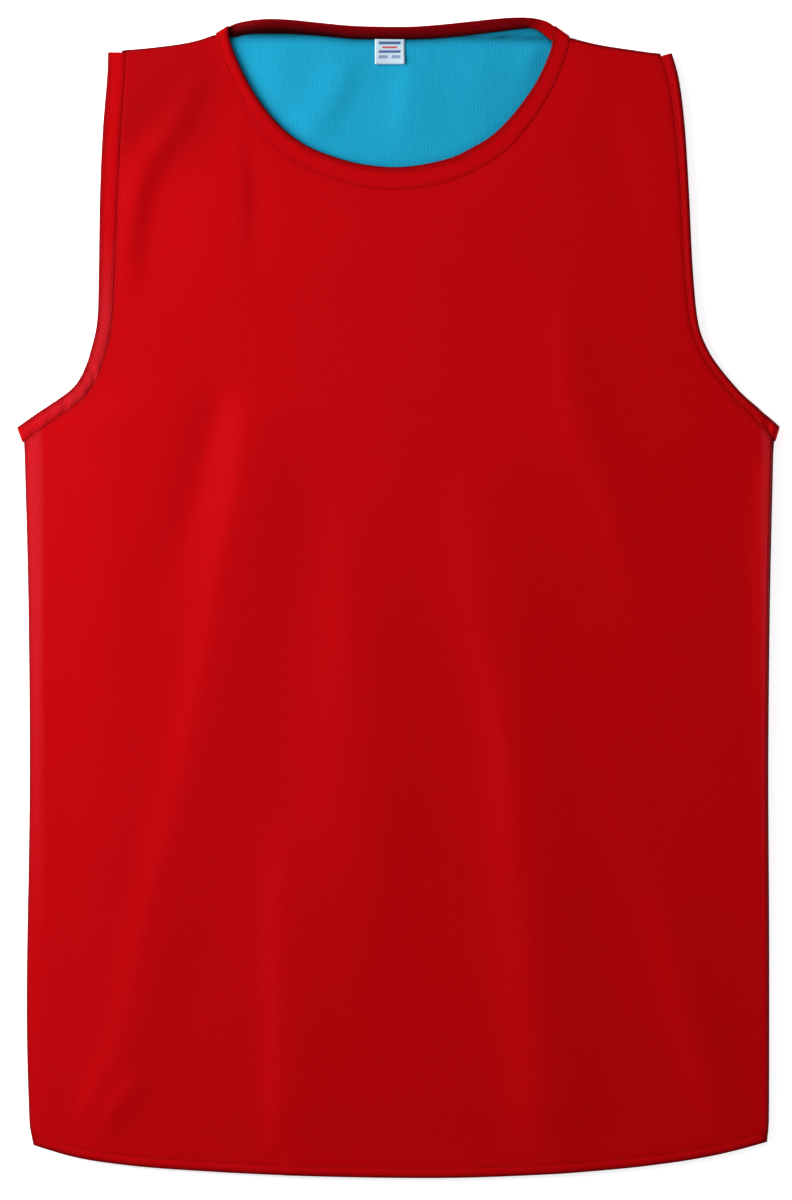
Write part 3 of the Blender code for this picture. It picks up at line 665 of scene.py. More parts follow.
# the hem in section, as (inset, height): a stitch groove, the soft edge and the turned-in cloth
HEM_SECTION = [(9.5, OUTER_TOP), (7.6, OUTER_TOP - 0.04), (6.5, OUTER_TOP - 0.12),
               (5.9, OUTER_TOP - 0.26), (5.4, OUTER_TOP - 0.2), (4.4, OUTER_TOP - 0.04),
               (2.8, OUTER_TOP + 0.08), (1.6, OUTER_TOP + 0.08), (0.8, OUTER_TOP - 0.08),
               (0.2, OUTER_TOP - 0.55), (0.0, OUTER_TOP - 1.25), (0.3, HALF_GAP + 0.35),
               (1.0, HALF_GAP), (3.0, HALF_GAP), (4.9, HALF_GAP), (5.1, HALF_GAP + 0.5)]
HEM_GROOVE = 3                  # the section's point at the bottom of the stitch groove
HEM_EDGE = 9                    # and the last one on the outside of the edge
SEAM_LIP = 0.35                 # the edge of a turned wall goes in by this much at the seam
SEAM_END_SHUT = OUTER_TOP - 0.4     # the back's edge rises by this to shut a seam's open end


def outer_profiles():
    """(inset, height) of the outer wall from its flat part to its edge, for each kind of edge."""
    count = len(HEM_SECTION)
    turned = [(OUTER_TOP * (1 - math.sin(turn)), OUTER_TOP * math.cos(turn))
              for turn in np.linspace(0.0, math.acos(0.45 / OUTER_TOP), count - 2)]
    turned += [(0.1, 0.26), (SEAM_LIP, HALF_GAP)]
    sewn = [(4.5, 0.0), (3.4, 0.0), (2.6, 0.01), (2.0, 0.02), (1.6, 0.03), (1.25, 0.05),
            (0.95, 0.07), (0.7, 0.09), (0.5, 0.11), (0.32, 0.13), (0.2, 0.15), (0.1, 0.18),
            (0.04, 0.20), (0.02, 0.23), (0.01, 0.27), (0.0, 0.32)]
    return {"hem": HEM_SECTION, "turned": turned,
            "sewn": [(distance, OUTER_TOP - dip) for distance, dip in sewn]}


def lining_profiles():
    """(inset, height) of a lining from its flat part to its edge, for each kind of edge."""
    return {"hem": [(HEM + 1.4, LINING_TOP), (HEM + 0.9, LINING_TOP),
                    (HEM + 0.5, LINING_TOP - 0.1)],
            "turned": [(OUTER_TOP + 0.6, LINING_TOP), (OUTER_TOP, LINING_TOP - 0.04),
                       (OUTER_TOP - 0.4, LINING_TOP - 0.2)],
            "sewn": [(1.5, LINING_TOP), (0.7, LINING_TOP - 0.05), (0.0, LINING_TOP - 0.2)]}


def unrolled(profile):
    """The inset that each point of a profile would have if the cloth were laid out flat."""
    profile = np.array(profile)
    steps = np.linalg.norm(np.diff(profile, axis=0), axis=1)
    return profile[0, 0] - np.concatenate([[0.0], np.cumsum(steps)])


def corner_height(heights, before, after):
    """Height where two kinds of edge meet: a turned edge opens out to a band's height."""
    pair = (heights[before], heights[after])
    return max(pair) if "sewn" in (before, after) else min(pair)


def edge_shares(profiles, pairs, inner_points):
    """How much painted shade the edges put on each point of a wall, and how far it dips at a sewn
    edge.
    """
    painted_shade, dips = [0.0] * inner_points, [0.0] * inner_points
    for level in range(1, len(profiles["sewn"])):
        near = {kind: EDGE_SHADE_DEPTH[kind] * np.clip(1.0 - profile[level][0] / EDGE_SHADE_WIDTH, 0.0, 1.0)
                for kind, profile in profiles.items()}
        if level > HEM_EDGE:
            near["hem"] = EDGE_SHADE_DEPTH["hem"]
        dip = profiles["sewn"][0][1] - profiles["sewn"][level][1]
        painted_shade += [max(near[before], near[after]) for before, after in pairs]
        dips += [dip * (before == after == "sewn") for before, after in pairs]
    return np.array(painted_shade), np.array(dips)


def wall(front, profiles, grid, looks_up):
    """One face of a wall of cloth: a grid of points, then rings of points to its edge.

    The back's outer wall looks down, and the back's lining looks up.
    """
    outline, kinds = wall_outline(front, grid)
    pairs = list(zip(kinds[-1:] + kinds[:-1], kinds))   # the edges before and after each point
    columns = 2 * grid["shoulder"] + grid["neck"]
    rows = grid["side"] + ARMHOLE_ROWS
    around, levels = len(outline), len(profiles["sewn"])
    flat_insets = {kind: unrolled(profile) for kind, profile in profiles.items()}
    inner = inset(outline, [profiles[kind][0][0] for kind in kinds])
    loop = np.vstack([inner, inner[:1]])
    sheet = spread(loop[:columns + 1], loop[columns:columns + rows + 1],
                   loop[columns + rows:2 * columns + rows + 1][::-1],
                   loop[2 * columns + rows:][::-1]).reshape(-1, 2)
    points = [np.column_stack([sheet, np.full(len(sheet), profiles["sewn"][0][1])])]
    flat = [sheet]

    def node(row, column):
        return row * (columns + 1) + column
    faces = [(node(r, c), node(r, c + 1), node(r + 1, c + 1), node(r + 1, c))
             for r in range(rows) for c in range(columns)]
    ring = ([node(0, c) for c in range(columns)] + [node(r, columns) for r in range(rows)]
            + [node(rows, c) for c in range(columns, 0, -1)]
            + [node(r, 0) for r in range(rows, 0, -1)])
    start = len(sheet)
    for level in range(1, levels):
        line = inset(outline, [profiles[kind][level][0] for kind in kinds])
        heights = {kind: profile[level][1] for kind, profile in profiles.items()}
        level_heights = [corner_height(heights, *pair) for pair in pairs]
        if not looks_up and level == levels - 1:
            level_heights = [-SEAM_END_SHUT if set(pair) == {"turned", "sewn"} else height
                             for pair, height in zip(pairs, level_heights)]
        points.append(np.column_stack([line, level_heights]))
        flat.append(inset(outline, [flat_insets[kind][level] for kind in kinds]))
        for i in range(around):
            n = (i + 1) % around
            faces.append((ring[i], start + i, start + n, ring[n]))
        ring = list(range(start, start + around))
        start += around
    points, flat = np.vstack(points), np.vstack(flat)
    edge = flat[-around:]
    painted_shade, dips = edge_shares(profiles, pairs, len(sheet))
    if front:
        shut = neck_shut(points[:, :2]) * (dips > 0.0)
        points[:, 2] += dips * shut
        painted_shade *= 1.0 - shut
        # painted shade over the left shoulder
        painted_shade = np.maximum(painted_shade, SHOULDER_PAINTED_SHADE * between(points[:, 1], *SHOULDER_SHADE_Y)
                         * between(points[:, 0], *SHOULDER_SHADE_X))
        points[:, 2] += PLANE + lift(points[:, :2])
    elif looks_up:
        points[:, 2] += PLANE - HALF_GAP - profiles["sewn"][0][1] + lining_swell(points[:, :2])
    else:
        creases = sum(fold_height(fold, points[:, :2]) for fold in BACK_FOLDS)
        points[:, 2] = PLANE - points[:, 2] + creases
        faces = [face[::-1] for face in faces]
    return points, faces, corners_of(faces, flat), painted_shade, edge


def area_of(outline):
    x, y = outline[:, 0], outline[:, 1]
    return abs(np.sum(x * np.roll(y, -1) - y * np.roll(x, -1))) / 2


def size_of(outline):
    return outline.max(axis=0) - outline.min(axis=0)


# ---------------------------------------------------------------- label
def neck_label():
    """A woven tape whose top edge runs in under the back neck band, on the lining."""
    columns, rows = LABEL_GRID
    top = np.interp(LABEL_MIDDLE, *np.array(NECK_SEWN_BACK[::-1]).T) + LABEL_TUCK
    across = np.linspace(-LABEL_WIDTH / 2, LABEL_WIDTH / 2, columns + 1)
    down = np.linspace(0.0, LABEL_LENGTH + LABEL_TUCK, rows + 1)
    x, drop = np.meshgrid(across, down)
    flat = np.column_stack([x.ravel(), drop.ravel()])
    xy = np.column_stack([LABEL_MIDDLE + x.ravel(), top - drop.ravel()])
    share = flat[:, 1] / down[-1]
    sides = np.abs(flat[:, 0]) / (LABEL_WIDTH / 2)
    curl = 0.55 * ease(share * 1.6 - 0.5) + 0.35 * share * sides ** 3
    lining = PLANE - HALF_GAP + lining_swell(xy)
    points = np.column_stack([xy, lining + LABEL_TAPE + 0.1 + curl])
    below = columns + 1
    faces = [(i, i + below, i + below + 1, i + 1)
             for r in range(rows) for i in range(r * below, r * below + columns)]
    # painted shade on the label's top edge, under the band
    painted_shade = 0.5 * ease(1.0 - flat[:, 1] / 3.0)
    return points, faces, corners_of(faces, flat), painted_shade


# soft folds of the lining where the neck shows it, in the same columns as FOLDS
LINING_FOLDS = [
    [(-28, 334, 0.0, 14, 9), (-33, 320, 1.2, 14, 9), (-40, 304, 1.7, 15, 9),
     (-54, 286, 1.2, 15, 10), (-64, 276, 0.0, 15, 10)],
    [(-78, 338, 0.0, 12, 16), (-76, 326, 1.0, 12, 18), (-70, 310, 1.0, 12, 16),
     (-66, 296, 0.0, 12, 14)],
    [(4, 336, 0.0, 9, 20), (8, 320, 1.2, 9, 22), (6, 300, 1.4, 9, 22), (2, 276, 0.4, 10, 20),
     (2, 262, 0.0, 10, 20)],
    [(48, 340, 0.0, 16, 18), (50, 322, 1.0, 16, 18), (44, 300, 0.8, 16, 18),
     (38, 282, 0.0, 16, 16)],
    [(84, 342, 0.0, 10, 8), (82, 328, 0.9, 12, 8), (76, 312, 0.4, 12, 8), (72, 302, 0.0, 12, 8)],
]


def inside(outline, xy):
    """Which points lie inside a closed outline."""
    found = np.zeros(len(xy), bool)
    for a, b in zip(outline, np.roll(outline, -1, axis=0)):
        crosses = (a[1] > xy[:, 1]) != (b[1] > xy[:, 1])
        with np.errstate(divide="ignore", invalid="ignore"):
            edge = (b[0] - a[0]) * (xy[:, 1] - a[1]) / (b[1] - a[1]) + a[0]
            found ^= crosses & (xy[:, 0] < edge)
    return found


def away_from(outline, xy):
    """Distance from each point to a closed outline."""
    best = np.full(len(xy), 1e9)
    for a, b in zip(outline, np.roll(outline, -1, axis=0)):
        run = b - a
        share = np.clip((xy - a) @ run / max(run @ run, 1e-9), 0.0, 1.0)
        best = np.minimum(best, np.linalg.norm(xy - a - share[:, None] * run, axis=1))
    return best


def neck_hole():
    """The outline of what the neck shows of the lining."""
    return np.vstack([smooth(NECK_FREE_FRONT, 60)[:-1], smooth(NECK_FREE_BACK, 30)[:-1]])


def lining_swell(xy):
    """Height of the back lining's folds, which die out under the front's neck band."""
    xy = np.asarray(xy, float)
    hole = neck_hole()
    near = (np.abs(xy[:, 0]) < 110) & (xy[:, 1] > 240)
    total = np.zeros(len(xy))
    spots = xy[near]
    fade = inside(hole, spots) * ease((away_from(hole, spots) - 1.0) / 9.0)
    total[near] = fade * sum(fold_height(fold, spots) for fold in LINING_FOLDS)
    return total


COLLAR_SHADE = 0.9              # the lining gets this much painted shadow under the collar and this much by the front's band, this near to them
BAND_SHADE = 0.15               # and this much by the front's band,
SHADE_WIDTH = 5.0               # this near to them


def lining_shade(xy):
    """How much painted shadow the lining gets under the collar and by the front's band."""
    near = (np.abs(xy[:, 0]) < 115) & (xy[:, 1] > 250)
    spots = xy[near]
    collar = away_from(smooth(NECK_SEWN_BACK, 40), spots)
    band = away_from(neck_hole(), spots)
    total = np.zeros(len(xy))
    total[near] = (COLLAR_SHADE * np.clip(1.0 - collar / SHADE_WIDTH, 0.0, 1.0) ** 1.5
                   + BAND_SHADE * np.clip(1.0 - band / SHADE_WIDTH, 0.0, 1.0))
    return np.clip(total, 0.0, 1.0)


# ---------------------------------------------------------------- finishes
class Socket:
    """An output of a shader node, on which Python's operators add Math nodes."""

    def __init__(self, finish, socket):
        self.finish, self.socket = finish, socket

    def math(self, operation, *values):
        return self.finish.node("ShaderNodeMath", values or (self,), operation=operation)

    def __add__(self, other):
        return self.math("ADD", self, other)

    def __radd__(self, other):
        return self.math("ADD", other, self)

    def __sub__(self, other):
        return self.math("SUBTRACT", self, other)

    def __rsub__(self, other):
        return self.math("SUBTRACT", other, self)

    def __mul__(self, other):
        return self.math("MULTIPLY", self, other)

    def __truediv__(self, other):
        return self.math("DIVIDE", self, other)

    def __gt__(self, other):
        return self.math("GREATER_THAN", self, other)

    def __lt__(self, other):
        return self.math("LESS_THAN", self, other)

    def __abs__(self):
        return self.math("ABSOLUTE")

    def sine(self):
        return self.math("SINE")

    def clamped(self):
        return self.finish.node("ShaderNodeClamp", [self])


class Finish:
    """A material whose Principled shader is fed by expressions."""

    def __init__(self, name, **constants):
        self.material = bpy.data.materials.new(name)
        self.material.use_nodes = True
        self.tree = self.material.node_tree
        self.shader = self.tree.nodes["Principled BSDF"]
        for socket, value in constants.items():
            self.shader.inputs[socket.replace("_", " ")].default_value = value

    def feed(self, socket, value):
        if isinstance(value, Socket):
            self.tree.links.new(value.socket, socket)
        else:
            socket.default_value = value

    def node(self, kind, sockets=(), output=0, **settings):
        made = self.tree.nodes.new(kind)
        for setting, value in settings.items():
            setattr(made, setting, value)
        named = sockets.items() if isinstance(sockets, dict) else enumerate(sockets)
        for key, value in named:
            self.feed(made.inputs[key], value)
        return Socket(self, made.outputs[output])

    def cut(self):
        """The place on the flat cloth, in millimetres: across and along."""
        place = self.node("ShaderNodeUVMap", uv_map="cut")
        grown = self.node("ShaderNodeVectorMath", [place, (1.0 / MM,) * 3], operation="MULTIPLY")
        return (self.node("ShaderNodeSeparateXYZ", [grown]),
                self.node("ShaderNodeSeparateXYZ", [grown], output=1))

    def noise(self, x, y, across, along, detail=2.0):
        """A noise between 0 and 1 whose blots have the given sizes in millimetres."""
        place = self.node("ShaderNodeCombineXYZ", [x / across, y / along, 0.0])
        return self.node("ShaderNodeTexNoise", {"Vector": place, "Scale": 1.0, "Detail": detail})

    def mix(self, share, first, second):
        made = self.tree.nodes.new("ShaderNodeMix")
        made.data_type = "RGBA"
        for socket, value in ((0, share), (6, first), (7, second)):
            self.feed(made.inputs[socket], value)
        return Socket(self, made.outputs[2])

    def bump(self, height, depth):
        """Feeds the normal from a height between 0 and 1 that stands for a depth in mm."""
        made = self.node("ShaderNodeBump", {"Strength": 1.0, "Distance": depth * MM,
                                            "Height": height})
        self.feed(self.shader.inputs["Normal"], made)

    def colour(self, value):
        self.feed(self.shader.inputs["Base Color"], value)

    def roughness(self, value):
        self.feed(self.shader.inputs["Roughness"], value)


def tone(colour, factor):
    return tuple(channel * factor for channel in colour) + (1.0,)


RED = (0.355, 0.0004, 0.0018)
# a paler, pinker red: painted sheen
RED_PAINTED_SHEEN = (0.37, 0.0072, 0.0118)
# the bands' inner side: the same red at half its brightness, as painted shade
RED_PAINTED_SHADE = (0.175, 0.0006, 0.0022)
RED_THREAD = (0.30, 0.001, 0.004)
BLUE = (0.0088, 0.252, 0.412)
WHITE = (0.39, 0.49, 0.56)
NAVY = (0.05, 0.09, 0.22)
MAROON = (0.42, 0.06, 0.07)
SLATE = (0.16, 0.22, 0.34)
RED_JERSEY = dict(wale=0.8, course=0.7, streak=0.12)    # width and height of a loop of the knit
BLUE_JERSEY = dict(wale=0.9, course=0.8, streak=0.38, depth=0.14, shade_and_tone=0.62, edge=0.2)

# the strips of painted sheen inside the side seams, in mm: their middle line, inner edge, how
# ragged that edge is, how steeply they set in, and the height over which they fade below the bib's
# middle
STRIP_MIDDLE = 2.0
STRIP_FROM = 216.5
STRIP_RAGGED = 4.0
STRIP_SLOPE = 0.28
STRIP_FADES = 220.0
STRIP_SHARE = 0.75
# the stretch of painted sheen, along the band in mm: its middle, half length and soft ends, and
# its limits
BAND_SHEEN_MIDDLE = 185.0
BAND_SHEEN_REACH = 75.0
BAND_SHEEN_SOFT = 45.0
BAND_SHEEN_END = 262.0
BAND_SHEEN_FROM_ACROSS = 9.0
BAND_SHEEN_SHARE = 0.85


def painted_side_sheen(across, along, blots):
    """Painted sheen in strips inside the side seams, which fade towards the hem."""
    out = abs(across - STRIP_MIDDLE) - STRIP_FROM + blots * STRIP_RAGGED
    height = ((along + STRIP_FADES) / STRIP_FADES).clamped()
    return (out * STRIP_SLOPE).clamped() * height * STRIP_SHARE


def painted_band_sheen(across, along, blots):
    """A stretch of painted sheen on the left armhole's band, on its front leg near the underarm.
    """
    stretch = ((BAND_SHEEN_REACH - abs(along - BAND_SHEEN_MIDDLE)) / BAND_SHEEN_SOFT + blots).clamped()
    return stretch * BAND_SHEEN_SHARE * (along < BAND_SHEEN_END) * (across > BAND_SHEEN_FROM_ACROSS)


def knit(name, colour, wale, course, streak, depth=0.08, shade_and_tone=0.72, edge=0.3, power=1.0,
         painted_sheen=None):
    """A fine jersey: columns of V-shaped loops, with faint streaks along the columns.

    Its colour deepens to the given share of itself as painted shade at folded and sewn edges and
    wherever painted_shade says so, and turns to a painted sheen colour where the function
    painted_sheen says so.
    """
    finish = Finish(name, Specular_IOR_Level=0.02, Sheen_Weight=0.02, Sheen_Roughness=0.3,
                    Sheen_Tint=(*[0.6 + 0.4 * channel for channel in colour], 1.0))
    across, along = finish.cut()
    wander = (finish.noise(across, along, 5.0, 22.0) - 0.5) * 3.0
    column = abs(((across + wander) * (math.pi / wale)).sine())
    leg = ((across + wander) * (2 * math.pi / wale)).sine()
    loop = (along * (2 * math.pi / course) + leg * 1.2).sine() * 0.5 + 0.5
    height = column * 0.6 + loop * 0.4
    blots = finish.noise(across, along, 55.0, 70.0, detail=3.0)
    streaks = finish.noise(across, along, 0.9, 14.0)
    # painted shade in the hollows between the loops, with random tone from the streaks and blots
    hollow_shade_and_tone = (1.0 - height) * 0.22 + (streaks - 0.5) * streak + (blots - 0.5) * 0.25
    # painted shade at edges and other shaded places, read from the mesh
    painted_shade = finish.node("ShaderNodeAttribute", attribute_name="painted_shade", output=2).clamped()
    plain = finish.mix(hollow_shade_and_tone, tone(colour, 1.0), tone(colour, shade_and_tone))
    deep = finish.mix(hollow_shade_and_tone, tone(colour, edge), tone(colour, edge * shade_and_tone))
    # painted sheen where the function painted_sheen says so
    if painted_sheen:
        plain = finish.mix(painted_sheen(across, along, blots - 0.5), plain, tone(RED_PAINTED_SHEEN, 1.0))
    finish.colour(finish.mix(painted_shade.math("POWER", painted_shade, power), plain, deep))
    finish.roughness(0.62 + (streaks - 0.5) * 0.12)
    finish.bump(height + (streaks - 0.5) * 0.5, depth)
    return finish.material


PLY = 0.35                      # from one ply of the thread to the next


def thread_finish(name, colour):
    """Twisted thread: fine slanting plies."""
    finish = Finish(name, Specular_IOR_Level=0.03, Sheen_Weight=0.02, Sheen_Roughness=0.4)
    place = finish.node("ShaderNodeTexCoord", output=3)
    x, y, z = (finish.node("ShaderNodeSeparateXYZ", [place], output=axis) for axis in range(3))
    ply = ((x + y * 1.3 + z) * (2 * math.pi / (PLY * MM))).sine() * 0.5 + 0.5
    # darker between the plies and lighter on them: painted shade and painted highlight
    finish.colour(finish.mix(ply, tone(colour, 0.75), tone(colour, 1.05)))
    finish.roughness(0.5 + ply * 0.1)
    finish.bump(ply, 0.03)
    return finish.material


# bars woven into the label: (from, to, half length, half width of the gap in it, colour)
LABEL_BARS = [(2.6, 4.4, 6.6, 0.0, NAVY), (5.6, 6.8, 4.6, 0.0, MAROON),
              (8.0, 9.6, 6.6, 0.0, NAVY), (11.0, 13.0, 6.6, 1.2, SLATE)]
LABEL_YARN = 0.35               # from one yarn of the tape to the next


def label_finish():
    """Woven tape: a fine plain weave with plain bars of colour woven in."""
    finish = Finish("label_tape", Specular_IOR_Level=0.25, Sheen_Weight=0.1)
    across, along = finish.cut()
    warp = (across * (2 * math.pi / LABEL_YARN)).sine()
    weft = (along * (2 * math.pi / LABEL_YARN)).sine()
    weave = warp * weft * 0.5 + 0.5
    colour = finish.mix(weave * 0.3, tone(WHITE, 1.0), tone(WHITE, 0.86))
    for start, end, reach, gap, bar_colour in LABEL_BARS:
        bar = (along > start) * (along < end) * (abs(across) < reach)
        if gap:
            bar = bar * (abs(across) > gap)
        colour = finish.mix(bar, colour, tone(bar_colour, 1.0))
    finish.colour(colour)
    finish.roughness(0.45 + weave * 0.1)
    finish.bump(weave, 0.03)
    return finish.material


FLOOR_GLOW = 0.58               # so that the floor is as pale as paper


def floor_finish():
    finish = Finish("pale_floor", Specular_IOR_Level=0.0)
    place = finish.node("ShaderNodeTexCoord", output=3)
    grain = finish.node("ShaderNodeTexNoise", {"Vector": place, "Scale": 6.0, "Detail": 2.0})
    finish.colour(finish.mix(grain, (0.93, 0.93, 0.93, 1.0), (0.96, 0.96, 0.96, 1.0)))
    finish.roughness(0.9)
    finish.shader.inputs["Emission Color"].default_value = (1.0, 1.0, 1.0, 1.0)
    finish.shader.inputs["Emission Strength"].default_value = FLOOR_GLOW
    return finish.material


# ---------------------------------------------------------------- rows of stitches
STITCH_PITCH = 3.0
STITCH_BITE = 2.3
THREAD = 0.34
STITCH_STANDS = 0.06            # the thread's middle stands this far off the cloth


def stitch_tree():
    """Sets thread stitches along a line: its inputs are the pitch, the bite and the thread."""
    tree = bpy.data.node_groups.new("stitch_row", "GeometryNodeTree")
    tree.interface.new_socket("Geometry", in_out="INPUT", socket_type="NodeSocketGeometry")
    for name in ("Pitch", "Bite", "Thread"):
        tree.interface.new_socket(name, in_out="INPUT", socket_type="NodeSocketFloat")
    tree.interface.new_socket("Material", in_out="INPUT", socket_type="NodeSocketMaterial")
    tree.interface.new_socket("Geometry", in_out="OUTPUT", socket_type="NodeSocketGeometry")

    def node(kind, sockets=(), **settings):
        made = tree.nodes.new(kind)
        for setting, value in settings.items():
            setattr(made, setting, value)
        for key, value in (sockets.items() if isinstance(sockets, dict) else enumerate(sockets)):
            if isinstance(value, bpy.types.NodeSocket):
                tree.links.new(value, made.inputs[key])
            else:
                made.inputs[key].default_value = value
        return made

    given = node("NodeGroupInput").outputs
    line = node("GeometryNodeMeshToCurve", [given["Geometry"]])
    spaced = node("GeometryNodeResampleCurve",
                  {"Curve": line.outputs[0], "Length": given["Pitch"]}, mode="LENGTH")
    tangent = node("GeometryNodeInputTangent")
    turn = node("FunctionNodeAlignRotationToVector", {"Vector": tangent.outputs[0]}, axis="Z")
    bead = node("GeometryNodeMeshUVSphere", {"Segments": 8, "Rings": 6, "Radius": 0.5})
    size = node("ShaderNodeCombineXYZ", [given["Thread"], given["Thread"], given["Bite"]])
    set_out = node("GeometryNodeInstanceOnPoints", {
        "Points": spaced.outputs[0], "Instance": bead.outputs["Mesh"],
        "Rotation": turn.outputs[0], "Scale": size.outputs[0]})
    real = node("GeometryNodeRealizeInstances", [set_out.outputs[0]])
    soft = node("GeometryNodeSetShadeSmooth", [real.outputs[0]])
    finished = node("GeometryNodeSetMaterial",
                    {"Geometry": soft.outputs[0], "Material": given["Material"]})
    node("NodeGroupOutput", [finished.outputs[0]])
    return tree


def stitches(name, lines, tree, finish):
    """Rows of stitches along lines of points, as one plain mesh."""
    points = np.vstack(lines) * MM
    edges, start = [], 0
    for line in lines:
        edges += [(start + i, start + i + 1) for i in range(len(line) - 1)]
        start += len(line)
    guide_mesh = bpy.data.meshes.new(name + "_line")
    guide_mesh.from_pydata(points.tolist(), edges, [])
    guide = bpy.data.objects.new(name + "_line", guide_mesh)
    bpy.context.scene.collection.objects.link(guide)
    row = guide.modifiers.new("stitches", "NODES")
    row.node_group = tree
    values = {"Pitch": STITCH_PITCH * MM, "Bite": STITCH_BITE * MM, "Thread": THREAD * MM,
              "Material": finish}
    for item in tree.interface.items_tree:
        if item.in_out == "INPUT" and item.name in values:
            row[item.identifier] = values[item.name]
    guide.update_tag()
    bpy.context.view_layer.update()
    evaluated = guide.evaluated_get(bpy.context.evaluated_depsgraph_get())
    mesh = bpy.data.meshes.new_from_object(evaluated)
    mesh.name = name
    bpy.data.objects.remove(guide)
    made = bpy.data.objects.new(name, mesh)
    bpy.context.scene.collection.objects.link(made)
    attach(made, "root")


# ---------------------------------------------------------------- the bib
def cloth(name, shape, finish, thickness, node, flat, area):
    made = make(name, *shape, finish, thickness)
    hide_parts(node)
    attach(made, "root")
    return made


def hem_line(points, grid):
    """The stitches' line along the hem of an outer wall, from its rings of points."""
    columns = 2 * grid["shoulder"] + grid["neck"]
    rows = grid["side"] + ARMHOLE_ROWS
    start = (columns + 1) * (rows + 1) + (HEM_GROOVE - 1) * 2 * (columns + rows)
    return points[start + 1:start + columns]


def make_walls(red, blue):
    grooves = []
    outer = (outer_profiles(), red, "red_cloth", CLOTH)
    lining = (lining_profiles(), blue, "blue_cloth", LINING_CLOTH)
    for name, node, front, looks_up, kind, grid, under in (
            ("front_cloth", "front_outer", True, True, outer, FRONT_GRID, "front_lining_cloth"),
            ("back_cloth", "back_outer", False, False, outer, BACK_GRID, "floor"),
            ("front_lining_cloth", "front_lining", True, True, lining, FRONT_GRID,
             "back_lining_cloth"),
            ("back_lining_cloth", "back_lining", False, True, lining, FRONT_GRID, "back_cloth")):
        profiles, finish, slot, thickness = kind
        points, faces, cut, painted_shade, edge = wall(front, profiles, grid, looks_up)
        if name == "back_lining_cloth":
            painted_shade = np.maximum(painted_shade, lining_shade(points[:, :2]))
        cloth(name, (points, faces, cut, painted_shade), finish, thickness, node,
              flat=size_of(edge), area=area_of(edge))
        if kind is outer:
            grooves.append(hem_line(points, grid))
    return grooves


def make_bands(red_band, sheened_band, shaded_inside):
    lines = {}
    profile_points = len(band_profile(BAND, HALF_GAP, BAND_TOP))
    for name, (shape, stitch_lines), finish in (
            ("armhole_band_left", armhole_band(-1), sheened_band),
            ("armhole_band_right", armhole_band(1), red_band),
            ("neck_band", neck_band(), red_band)):
        *shape, flat = shape
        made = cloth(name + "_cloth", shape, finish, CLOTH, name,
                     flat=flat, area=flat[0] * flat[1])
        made.data.materials.append(shaded_inside)
        # a band's inner faces take the painted shade finish, but for the neck band right of
        # COLLAR_TURNS
        outer_from = COLLAR_TURNS * MM if name == "neck_band" else math.inf
        for face in made.data.polygons:
            inside_face = face.index % (profile_points - 1) < INSIDE_POINTS - 1
            face.material_index = int(inside_face and face.center.x < outer_from)
        lines[name] = stitch_lines
    return lines


def raised(lines):
    """Lines of stitches on their cloth: the front's on top, the back's underneath."""
    front, back = lines
    low = np.maximum(back[:, 2] - STITCH_STANDS, THREAD / 2)
    return [front + (0.0, 0.0, STITCH_STANDS), np.column_stack([back[:, :2], low])]


def make_bib():
    red = knit("red_cloth", RED, painted_sheen=painted_side_sheen, **RED_JERSEY)
    blue = knit("blue_cloth", BLUE, **BLUE_JERSEY)
    red_band = knit("red_band", RED, **RED_JERSEY)
    sheened_band = knit("red_band_painted_sheen", RED, painted_sheen=painted_band_sheen, **RED_JERSEY)
    shaded_inside = knit("red_band_inside_painted_shade", RED_PAINTED_SHADE, edge=0.1, power=1.3, **RED_JERSEY)
    thread = thread_finish("red_thread", RED_THREAD)
    grooves = make_walls(red, blue)
    lines = make_bands(red_band, sheened_band, shaded_inside)
    tree = stitch_tree()
    for name, rows in lines.items():
        stitches(name.replace("band", "stitches"), raised(rows), tree, thread)
    stitches("hem_stitches", raised(grooves), tree, thread)
    tape = (LABEL_WIDTH, LABEL_LENGTH + LABEL_TUCK)
    cloth("neck_label_tape", neck_label(), label_finish(), LABEL_TAPE, "neck_label",
          flat=tape,
          area=tape[0] * tape[1])


# ---------------------------------------------------------------- floor, light and camera
# all of it in metres
VIEW_HEIGHT = 0.7286            # how much of the floor the picture's height covers
VIEW_CENTRE = (-0.0015, -0.0014)
CAMERA_HEIGHT = 3.0             # above the cloth
SENSOR = 36.0                   # but for this, in millimetres
FLOOR_HALF = 4.0
FLOOR_Z = -0.0003               # just under the cloth's lowest edge
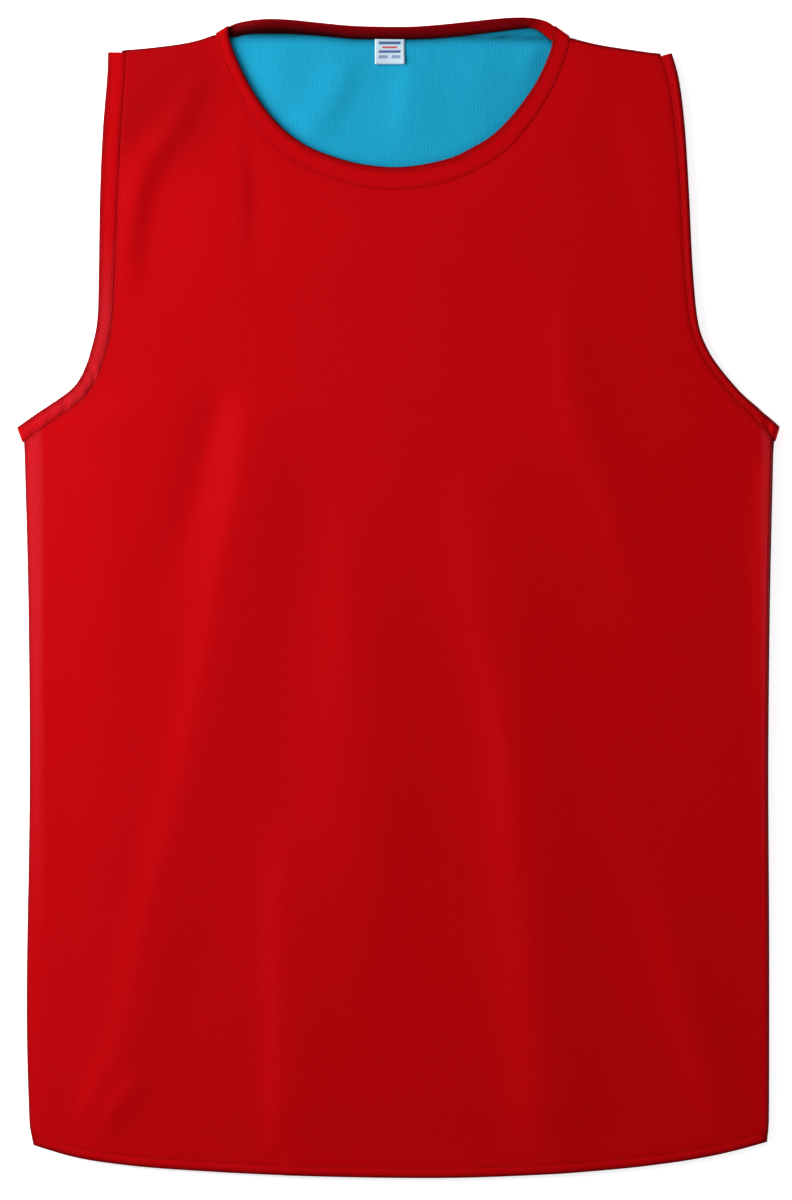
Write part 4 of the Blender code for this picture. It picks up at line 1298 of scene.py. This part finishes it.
# a light is (name, place, target, size, power in watts, colour)
LIGHTS = [("key", (-1.1, 0.43, 0.6), (-0.1, 0.0, 0.0), (1.0, 1.0), 40.5, (1.0, 1.0, 1.0)),
          ("fill", (1.5, -0.1, 0.35), (0.0, 0.0, 0.0), (0.5, 1.2), 5.0, (1.0, 0.98, 1.0))]
ROOM_LIGHT = (0.95, 0.97, 1.0, 1.0)
ROOM_STRENGTH = 0.43


def make_floor():
    mesh = bpy.data.meshes.new("floor")
    mesh.from_pydata([(x * FLOOR_HALF, y * FLOOR_HALF, FLOOR_Z)
                      for x, y in ((-1, -1), (1, -1), (1, 1), (-1, 1))], [], [(0, 1, 2, 3)])
    mesh.materials.append(floor_finish())
    floor = bpy.data.objects.new("floor", mesh)
    bpy.context.scene.collection.objects.link(floor)


def area_light(name, place, target, size, power, colour):
    data = bpy.data.lights.new(name, "AREA")
    data.shape = "RECTANGLE"
    data.size, data.size_y = size
    data.energy = power
    data.color = colour
    light = bpy.data.objects.new(name, data)
    light.location = place
    aim = np.array(target, float) - np.array(place, float)
    light.rotation_euler = (math.atan2(math.hypot(aim[0], aim[1]), -aim[2]), 0.0,
                            math.atan2(-aim[0], aim[1]))
    light.visible_camera = False
    bpy.context.scene.collection.objects.link(light)


def make_lights():
    for light in LIGHTS:
        area_light(*light)
    world = bpy.data.worlds.new("studio")
    world.use_nodes = True
    background = world.node_tree.nodes["Background"]
    background.inputs["Color"].default_value = ROOM_LIGHT
    background.inputs["Strength"].default_value = ROOM_STRENGTH
    bpy.context.scene.world = world
    bpy.context.scene.view_settings.view_transform = "Standard"


def make_camera():
    data = bpy.data.cameras.new("camera")
    data.sensor_width = SENSOR
    data.lens = SENSOR * CAMERA_HEIGHT / VIEW_HEIGHT
    camera = bpy.data.objects.new("camera", data)
    top_of_cloth = 2 * PLANE * MM
    camera.location = (*VIEW_CENTRE, CAMERA_HEIGHT + top_of_cloth)
    bpy.context.scene.collection.objects.link(camera)
    bpy.context.scene.camera = camera


make_camera()
make_bib()
make_floor()
make_lights()
